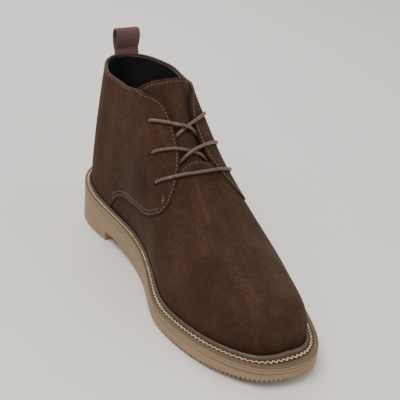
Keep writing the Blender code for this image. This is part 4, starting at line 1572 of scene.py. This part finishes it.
# %% Hidden runs and the bar
def hidden_run(side, start, eyelet):
    u, v = EYELETS[eyelet]
    places = []
    for share in (0.35, 0.60, 0.85):
        row = start[0] + (u - start[0]) * share
        places.append((side, row, start[1] + (v - start[1]) * share, UNDER_FACING))
    return places


def bottom_bar():
    u, v = EYELETS[2]
    knots = (
        # climb, lift
        (v - 0.004, UNDER_FACING),
        (v, -0.0010),
        (v + 0.010, 0.0014),
        (v + 0.035, OVER_QUARTER),
        (0.84, OVER_QUARTER),
        (0.93, 0.0019),
        (1.0, 0.0016),
    )
    climbs = np.r_[v - 0.004, v, v + 0.010, np.linspace(v + 0.035, 1.0, 12)]
    lifts = table_line(knots, climbs)
    bow = 1.0 - ((1.0 - climbs) / (1.0 - v)) ** 2
    rows = u + (BAR_ROW - u) * bow
    half = [(-1, row, climb, lift) for row, climb, lift in zip(rows, climbs, lifts)]
    return half + [(1, row, climb, lift) for _, row, climb, lift in half[-2::-1]]


# %% [markdown]
# The strands are joined into one route from top hole to top hole. In each crossing the strand that
# is laid last rides over the other one by a lace's thickness.

# %% Route of the lace
LACE_STEP = 0.0007


def lace_places():
    route = strand(-1, 0, LACE_ENDS[0], RIDE_OVER)
    route += hidden_run(1, LACE_ENDS[0], 1)
    route += strand(1, 1, LACE_ENDS[1], RIDE_OVER)
    route += hidden_run(-1, LACE_ENDS[1], 2)
    route += bottom_bar()
    route += hidden_run(1, LACE_ENDS[1], 2)[::-1]
    route += strand(-1, 1, LACE_ENDS[1], 0.0)[::-1]
    route += hidden_run(-1, LACE_ENDS[0], 1)[::-1]
    route += strand(1, 0, LACE_ENDS[0], 0.0)[::-1]
    return route


def lace_route():
    places = [over_last([u], [v], side, [lift])[0] for side, u, v, lift in lace_places()]
    d = distance(places)
    at = np.linspace(0.0, d[-1], int(d[-1] / LACE_STEP))
    return curve(d, places, at), at


lace_line, lace_run = lace_route()
print("lace:", round(lace_run[-1], 3), "m long")

# %% Lace
LACE_SIDES = 14


# The ring is carried on from step to step, so the braid doesn't twist
def make_lace():
    ahead = unit(np.gradient(lace_line, axis=0))
    across = np.cross(ahead[0], (0.0, 0.0, 1.0))
    turns = 2.0 * math.pi * np.arange(LACE_SIDES) / LACE_SIDES
    rings = []
    for place, along_lace in zip(lace_line, ahead):
        across = across - along_lace * np.dot(across, along_lace)
        across /= np.linalg.norm(across)
        other = np.cross(along_lace, across)
        spokes = np.outer(np.cos(turns), across) + np.outer(np.sin(turns), other)
        rings.append((place + LACE_RADIUS * spokes).tolist())
    way_round = [k / LACE_SIDES for k in range(LACE_SIDES + 1)]
    return swept("lace", rings, lace_run, way_round, waxed_lace)


lace = make_lace()
print("lace", len(lace.data.polygons), "faces")

# %% [markdown]
# Stitches repeat by the hundred, so Geometry Nodes make them. A row is a mesh of loose points, one
# for each stitch, which carry the run of the seam and the direction out of the leather. The tree
# puts a small capsule on each point and turns it to both.

# %% Stitch tree
STITCH_INPUTS = (("Geometry", "Geometry"), ("Length", "Float"), ("Thickness", "Float"),
                 ("Thread", "Material"))


def stitch_tree():
    tree = bpy.data.node_groups.new("stitch row", "GeometryNodeTree")
    tree.interface.new_socket("Geometry", in_out="OUTPUT", socket_type="NodeSocketGeometry")
    for name, kind in STITCH_INPUTS:
        tree.interface.new_socket(name, in_out="INPUT", socket_type="NodeSocket" + kind)
    add = tree.nodes.new
    link_up = tree.links.new
    given = add("NodeGroupInput")
    result = add("NodeGroupOutput")
    ball = add("GeometryNodeMeshUVSphere")
    ball.inputs["Segments"].default_value = 8
    ball.inputs["Rings"].default_value = 5
    ball.inputs["Radius"].default_value = 0.5
    scale = add("ShaderNodeCombineXYZ")
    link_up(given.outputs["Length"], scale.inputs[0])
    link_up(given.outputs["Thickness"], scale.inputs[1])
    link_up(given.outputs["Thickness"], scale.inputs[2])
    turns = []
    for name, axis, pivot in (("run", "X", "AUTO"), ("out", "Z", "X")):
        read = add("GeometryNodeInputNamedAttribute")
        read.data_type = "FLOAT_VECTOR"
        read.inputs["Name"].default_value = name
        turn = add("FunctionNodeAlignRotationToVector")
        turn.axis = axis
        turn.pivot_axis = pivot
        link_up(read.outputs["Attribute"], turn.inputs["Vector"])
        if turns:
            link_up(turns[-1].outputs["Rotation"], turn.inputs["Rotation"])
        turns.append(turn)
    place = add("GeometryNodeInstanceOnPoints")
    link_up(given.outputs["Geometry"], place.inputs["Points"])
    link_up(ball.outputs["Mesh"], place.inputs["Instance"])
    link_up(turns[-1].outputs["Rotation"], place.inputs["Rotation"])
    link_up(scale.outputs[0], place.inputs["Scale"])
    real = add("GeometryNodeRealizeInstances")
    link_up(place.outputs["Instances"], real.inputs["Geometry"])
    paint = add("GeometryNodeSetMaterial")
    link_up(real.outputs["Geometry"], paint.inputs["Geometry"])
    link_up(given.outputs["Thread"], paint.inputs["Material"])
    link_up(paint.outputs["Geometry"], result.inputs["Geometry"])
    return tree


STITCH_TREE = stitch_tree()
print("stitch tree:", len(STITCH_TREE.nodes), "nodes")


# %% [markdown]
# The same tree makes every row. Its inputs are set by the identifiers of their sockets, and the
# result is baked into a plain mesh, because instances would be lost when the boot is exported.

# %% Rows of stitches
def set_inputs(modifier, values):
    for item in modifier.node_group.interface.items_tree:
        if item.in_out == "INPUT" and item.name in values:
            modifier[item.identifier] = values[item.name]


def stitches(name, spots, length, thickness, thread):
    places, runs, outs = (np.vstack(part) for part in zip(*spots))
    mesh = bpy.data.meshes.new(name)
    mesh.from_pydata(places.tolist(), [], [])
    for label, values in (("run", runs), ("out", outs)):
        mesh.attributes.new(label, "FLOAT_VECTOR", "POINT")
        mesh.attributes[label].data.foreach_set("vector", values.astype(np.float32).ravel())
    obj = link(name, mesh)
    row = obj.modifiers.new("stitches", "NODES")
    row.node_group = STITCH_TREE
    set_inputs(row, {"Length": length, "Thickness": thickness, "Thread": thread})
    settle(obj)
    obj.data.shade_smooth()
    print(name, len(places), "stitches")
    return obj


# %% [markdown]
# Each seam follows an edge of the pattern at a set distance. The line is laid over the last, read
# at even steps of its true length, and given as places with their run and their outward direction.
# A hand never sews quite straight, so the stitches may slant a little to alternate sides.

# %% Seam lines
STITCH_PITCH = 0.0030


def slanted(runs, outs, slant):
    lean = np.where(np.arange(len(runs)) % 2 == 0, slant, -slant)[:, None]
    return runs + np.cross(outs, runs) * lean


def seam_spots(line, side, lift, pitch=STITCH_PITCH, slant=0.0):
    fine = read_at(np.linspace(0.0, 1.0, 1200), np.linspace(0, 1, len(line)), line)
    height = lift(fine[:, 0], fine[:, 1]) if callable(lift) else np.full(len(fine), lift)
    places = over_last(fine[:, 0], fine[:, 1], side, height)
    d = distance(places)
    at = np.arange(pitch / 2, d[-1], pitch)
    runs = unit(read_at(at, d, np.gradient(places, axis=0)))
    rows, climbs = read_at(at, d, fine).T
    outs = directions(rows, climbs, side)[2]
    return read_at(at, d, places), slanted(runs, outs, slant), outs


def smooth_line(line, width):
    kernel = np.ones(width) / width
    padded = np.vstack([np.repeat(line[:1], width // 2, 0), line, np.repeat(line[-1:], width // 2, 0)])
    return np.stack([np.convolve(column, kernel, "valid") for column in padded.T], axis=1)


# %% [markdown]
# One row of brown stitches runs round the whole free edge of each quarter: the collar, the facing,
# the nose and the foot. The foot has a second row inside the first, since it holds the vamp.

# %% Quarter stitches
SEAM_INSET = 0.0019
SECOND_ROW = 2.4
SEAM_SLANT = 0.16
ON_QUARTER = QUARTER_OUT + 0.00005


def quarter_seams(side):
    top = along(top_edge(side), np.linspace(0.0, 1.0, 400))
    nose = along(QUARTER_NOSE, np.linspace(0.0, 1.0, 120))[::-1]
    foot = along(QUARTER_FOOT[6:], np.linspace(0.0, 1.0, 160))[::-1]
    ring = np.vstack([top, nose[1:], foot[1:]])
    outer = inset_line(smooth_line(ring, 15), side, -SEAM_INSET)
    inner = inset_line(smooth_line(foot, 9), side, -SECOND_ROW * SEAM_INSET)
    return [seam_spots(line, side, ON_QUARTER, slant=SEAM_SLANT) for line in (outer, inner)]


quarter_stitches = stitches("quarter_stitches", quarter_seams(-1) + quarter_seams(1),
                            length=0.0022, thickness=0.00066, thread=brown_thread)

# %% [markdown]
# The front corner of the quarter takes the strain when the boot is pulled on, so it gets a bar
# tack: a small triangle of short, close stitches between the two rows.

# %% Bar tacks
TACK = ((6.145, 0.562), (6.215, 0.590), (6.140, 0.598), (6.205, 0.560))
TACK_PITCH = 0.0013
TACK_SLANT = 0.5


def tack_spots():
    spots = []
    for side in (-1, 1):
        for start, end in zip(TACK[:-1], TACK[1:]):
            shares = np.linspace(0.0, 1.0, 20)[:, None]
            line = np.array(start) * (1 - shares) + np.array(end) * shares
            spots.append(seam_spots(line, side, ON_QUARTER, TACK_PITCH, TACK_SLANT))
    return spots


bar_tacks = stitches("bar_tacks", tack_spots(), length=0.0013, thickness=0.00055, thread=brown_thread)


# %% [markdown]
# A row of stitches holds the lining to the tongue three millimetres inside its top edge. A second
# row curves over the throat, where the tongue is sewn under the vamp.

# %% Tongue and throat stitches
TONGUE_INSET = 0.0030
CREST = 0.9999
THROAT_ROW = SEAM_ROW + 0.045


def on_tongue(u, v):
    return tongue_lift(u, v) + 0.0001


def tongue_seams():
    spots = []
    for side in (-1, 1):
        top = tongue_patch(side)[0][0]
        line = inset_line(smooth_line(top, 5), side, -TONGUE_INSET)
        line[:, 1] = np.clip(line[:, 1], 0.0, CREST)
        spots.append(seam_spots(line[2:], side, on_tongue))
    return spots


def throat_seam():
    spots = []
    for side in (-1, 1):
        climbs = np.linspace(0.84, CREST, 60)
        rows = THROAT_ROW + 0.03 * ((1.0 - climbs) / 0.16) ** 2
        spots.append(seam_spots(np.c_[rows, climbs], side, 0.0001))
    return spots


tongue_stitches = stitches("tongue_stitches", tongue_seams(),
                           length=0.0021, thickness=0.00060, thread=brown_thread)
throat_stitches = stitches("throat_stitches", throat_seam(),
                           length=0.0021, thickness=0.00060, thread=brown_thread)

# %% [markdown]
# The welt is sewn with thick cream thread in a close zig-zag, which fills the groove between the
# margin and the rib. The stitches lean to alternate sides, further where the groove is wider.

# %% Welt stitches
WELT_PITCH = 0.0019
WELT_STITCH = 0.0039
WELT_THREAD = 0.00100
THREAD_LIFT = 0.0006
GROOVE_MIDDLE = 0.48
REACH_LIMITS = (0.0022, 0.0034)


def welt_spots():
    width, margin, rib = welt_parts()
    groove = width - margin - rib
    middle = round_loop(margin + groove * GROOVE_MIDDLE,
                        lambda x: sole_line(x) - GROOVE_DEPTH + THREAD_LIFT)
    closed = np.vstack([middle, middle[:1]])
    d = distance(closed)
    count = 2 * int(d[-1] / WELT_PITCH / 2)
    at = (np.arange(count) + 0.5) * d[-1] / count
    places = read_at(at, d, closed)
    ahead = unit(np.roll(places, -1, axis=0) - np.roll(places, 1, axis=0))
    up = np.tile((0.0, 0.0, 1.0), (count, 1))
    reach = np.clip(np.interp(at, d[:-1], groove) - WELT_THREAD, *REACH_LIMITS) / WELT_STITCH
    return [(places, slanted(ahead, up, reach / np.sqrt(1.0 - reach ** 2)), up)]


# %% [markdown]
# The ends of the pull loop are sewn on with a box of stitches: two rows across the strip and one
# up each side. They lie on the rear leg, and the rows up the sides follow its slope.

# %% Pull loop stitches
LOOP_PITCH = 0.0026
LOOP_MARGIN = 0.0022
BOX_ROWS = (BACK_RIM - 0.0035, BACK_RIM - LOOP_LEG + 0.0030)
BOX_SIDES = (BACK_RIM - LOOP_LEG + 0.0045, BACK_RIM - 0.0045)


def loop_spots():
    route, _ = loop_route()
    leg = route[len(route) // 2:]
    leg = leg[leg[:, 1] < BACK_RIM][::-1]
    half = LOOP_WIDTH / 2 - LOOP_MARGIN
    surface = LOOP_THICK / 2 + 0.0001
    spots = []
    for z in BOX_ROWS:
        y = np.arange(-half, half + 0.0001, LOOP_PITCH)
        x = np.full(len(y), np.interp(z, leg[:, 1], leg[:, 0]) - surface - ORIGIN[0])
        along_row = np.tile((0.0, 1.0, 0.0), (len(y), 1))
        spots.append((np.c_[x, y, np.full(len(y), z)], along_row, np.tile((-1.0, 0.0, 0.0), (len(y), 1))))
    for y in (-half, half):
        z = np.arange(*BOX_SIDES, LOOP_PITCH)
        x = np.interp(z, leg[:, 1], leg[:, 0]) - surface
        slope = np.gradient(x, z)
        flat = np.zeros(len(z))
        places = np.c_[x - ORIGIN[0], flat + y, z]
        spots.append((places, np.c_[slope, flat, flat + 1.0], np.c_[flat - 1.0, flat, slope]))
    return spots


loop_stitches = stitches("loop_stitches", loop_spots(),
                         length=0.0020, thickness=0.00060, thread=brown_thread)
welt_stitches = stitches("welt_stitches", welt_spots(),
                         length=WELT_STITCH, thickness=WELT_THREAD, thread=cream_thread)

# %% [markdown]
# Every piece rides on the frame's one body, so that it moves with the boot. The pieces are grouped under
# the names of the solids that they stand for.

# %% Ride
PIECES = {
    "upper": (quarters, vamp, lining, quarter_stitches, bar_tacks, throat_stitches),
    "tongue": (tongue, tongue_stitches),
    "welt": (storm_welt, welt_stitches),
    "outsole": (rubber_outsole,),
    "insole": (sock,),
    "pull_loop": (webbing_loop, loop_stitches),
    "lace_top": (lace,),
}
for slot, pieces in PIECES.items():
    for piece in pieces:
        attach(piece, "root")
print("pieces:", sum(len(pieces) for pieces in PIECES.values()))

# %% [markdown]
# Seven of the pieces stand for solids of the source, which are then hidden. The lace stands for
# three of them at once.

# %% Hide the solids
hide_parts("upper")
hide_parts("tongue")
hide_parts("welt")
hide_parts("outsole")
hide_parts("insole")
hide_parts("pull_loop")
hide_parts("lace_top", "lace_middle", "lace_bottom")

# %% [markdown]
# The floor is plain and pale. It is the stage and no part of the boot.

# %% Floor
FLOOR_SIZE = 6.0


def make_floor():
    mesh = bpy.data.meshes.new("floor")
    half = FLOOR_SIZE / 2
    mesh.from_pydata([(-half, -half, 0), (half, -half, 0), (half, half, 0), (-half, half, 0)], [],
                     [(0, 1, 2, 3)])
    floor = link("floor", mesh)
    paint = Finish("pale floor", base_color=(0.80, 0.77, 0.73), roughness=0.85, specular_ior_level=0.2)
    mesh.materials.append(paint.material)
    return floor


floor = make_floor()
print("floor:", FLOOR_SIZE, "m square")


# %% [markdown]
# The light is a big soft box overhead and to the left of the camera, with a weak fill and a light
# from behind, as in a product photograph. A pale world lifts the shadows.

# %% Light
LIGHTS = (
    # name, place, aim, size, power, colour
    ("overhead", (0.35, -0.55, 1.25), (0.0, 0.0, 0.05), 0.9, 17.0, (1.0, 0.97, 0.93)),
    ("fill", (1.1, 0.9, 0.8), (0.0, 0.0, 0.05), 1.2, 6.0, (1.0, 0.98, 0.95)),
    ("back", (-0.9, 0.2, 0.9), (0.0, 0.0, 0.08), 0.8, 7.0, (1.0, 1.0, 1.0)),
)
WORLD_COLOUR = (0.92, 0.90, 0.88, 1.0)
WORLD_STRENGTH = 0.55


def soft_light(name, place, aim, size, power, shade):
    data = bpy.data.lights.new(name, "AREA")
    data.shape = "SQUARE"
    data.size = size
    data.energy = power
    data.color = shade
    lamp = bpy.data.objects.new(name, data)
    bpy.context.scene.collection.objects.link(lamp)
    lamp.location = place
    lamp.rotation_euler = (Vector(aim) - Vector(place)).to_track_quat("-Z", "Y").to_euler()


for light in LIGHTS:
    soft_light(*light)

world = bpy.data.worlds.new("studio")
world.use_nodes = True
background = world.node_tree.nodes["Background"]
background.inputs["Color"].default_value = WORLD_COLOUR
background.inputs["Strength"].default_value = WORLD_STRENGTH
bpy.context.scene.world = world
print("lights:", len(LIGHTS))

# %% [markdown]
# The camera's place comes from fitting the boot's outline to the photograph. It is 0.39 m above the
# floor, looks 28 degrees down and is turned a little about its axis. It keeps that place, aims at
# the middle of the boot and has a longer lens, so that the boot fills the frame.

# %% Camera
CAMERA_PLACE = Vector((0.560, -0.328, 0.388))
PHOTO_AIM = Vector((-0.8093, 0.3487, -0.4727)).normalized()
PHOTO_ROLL = math.radians(1.64)
TARGET = Vector((0.004, 0.0, 0.068))
SENSOR = 36.0
LENS = 87.0


def make_camera():
    data = bpy.data.cameras.new("camera")
    data.sensor_width = SENSOR
    data.lens = LENS
    camera = bpy.data.objects.new("camera", data)
    bpy.context.scene.collection.objects.link(camera)
    photo = PHOTO_AIM.to_track_quat("-Z", "Y").to_matrix()
    photo = Matrix.Rotation(-PHOTO_ROLL, 3, PHOTO_AIM) @ photo
    aim = (TARGET - CAMERA_PLACE).normalized()
    turned = PHOTO_AIM.rotation_difference(aim).to_matrix() @ photo
    camera.matrix_world = Matrix.Translation(CAMERA_PLACE) @ turned.to_4x4()
    return camera


bpy.context.scene.camera = make_camera()
print("camera to boot:", round((TARGET - CAMERA_PLACE).length, 3), "m")
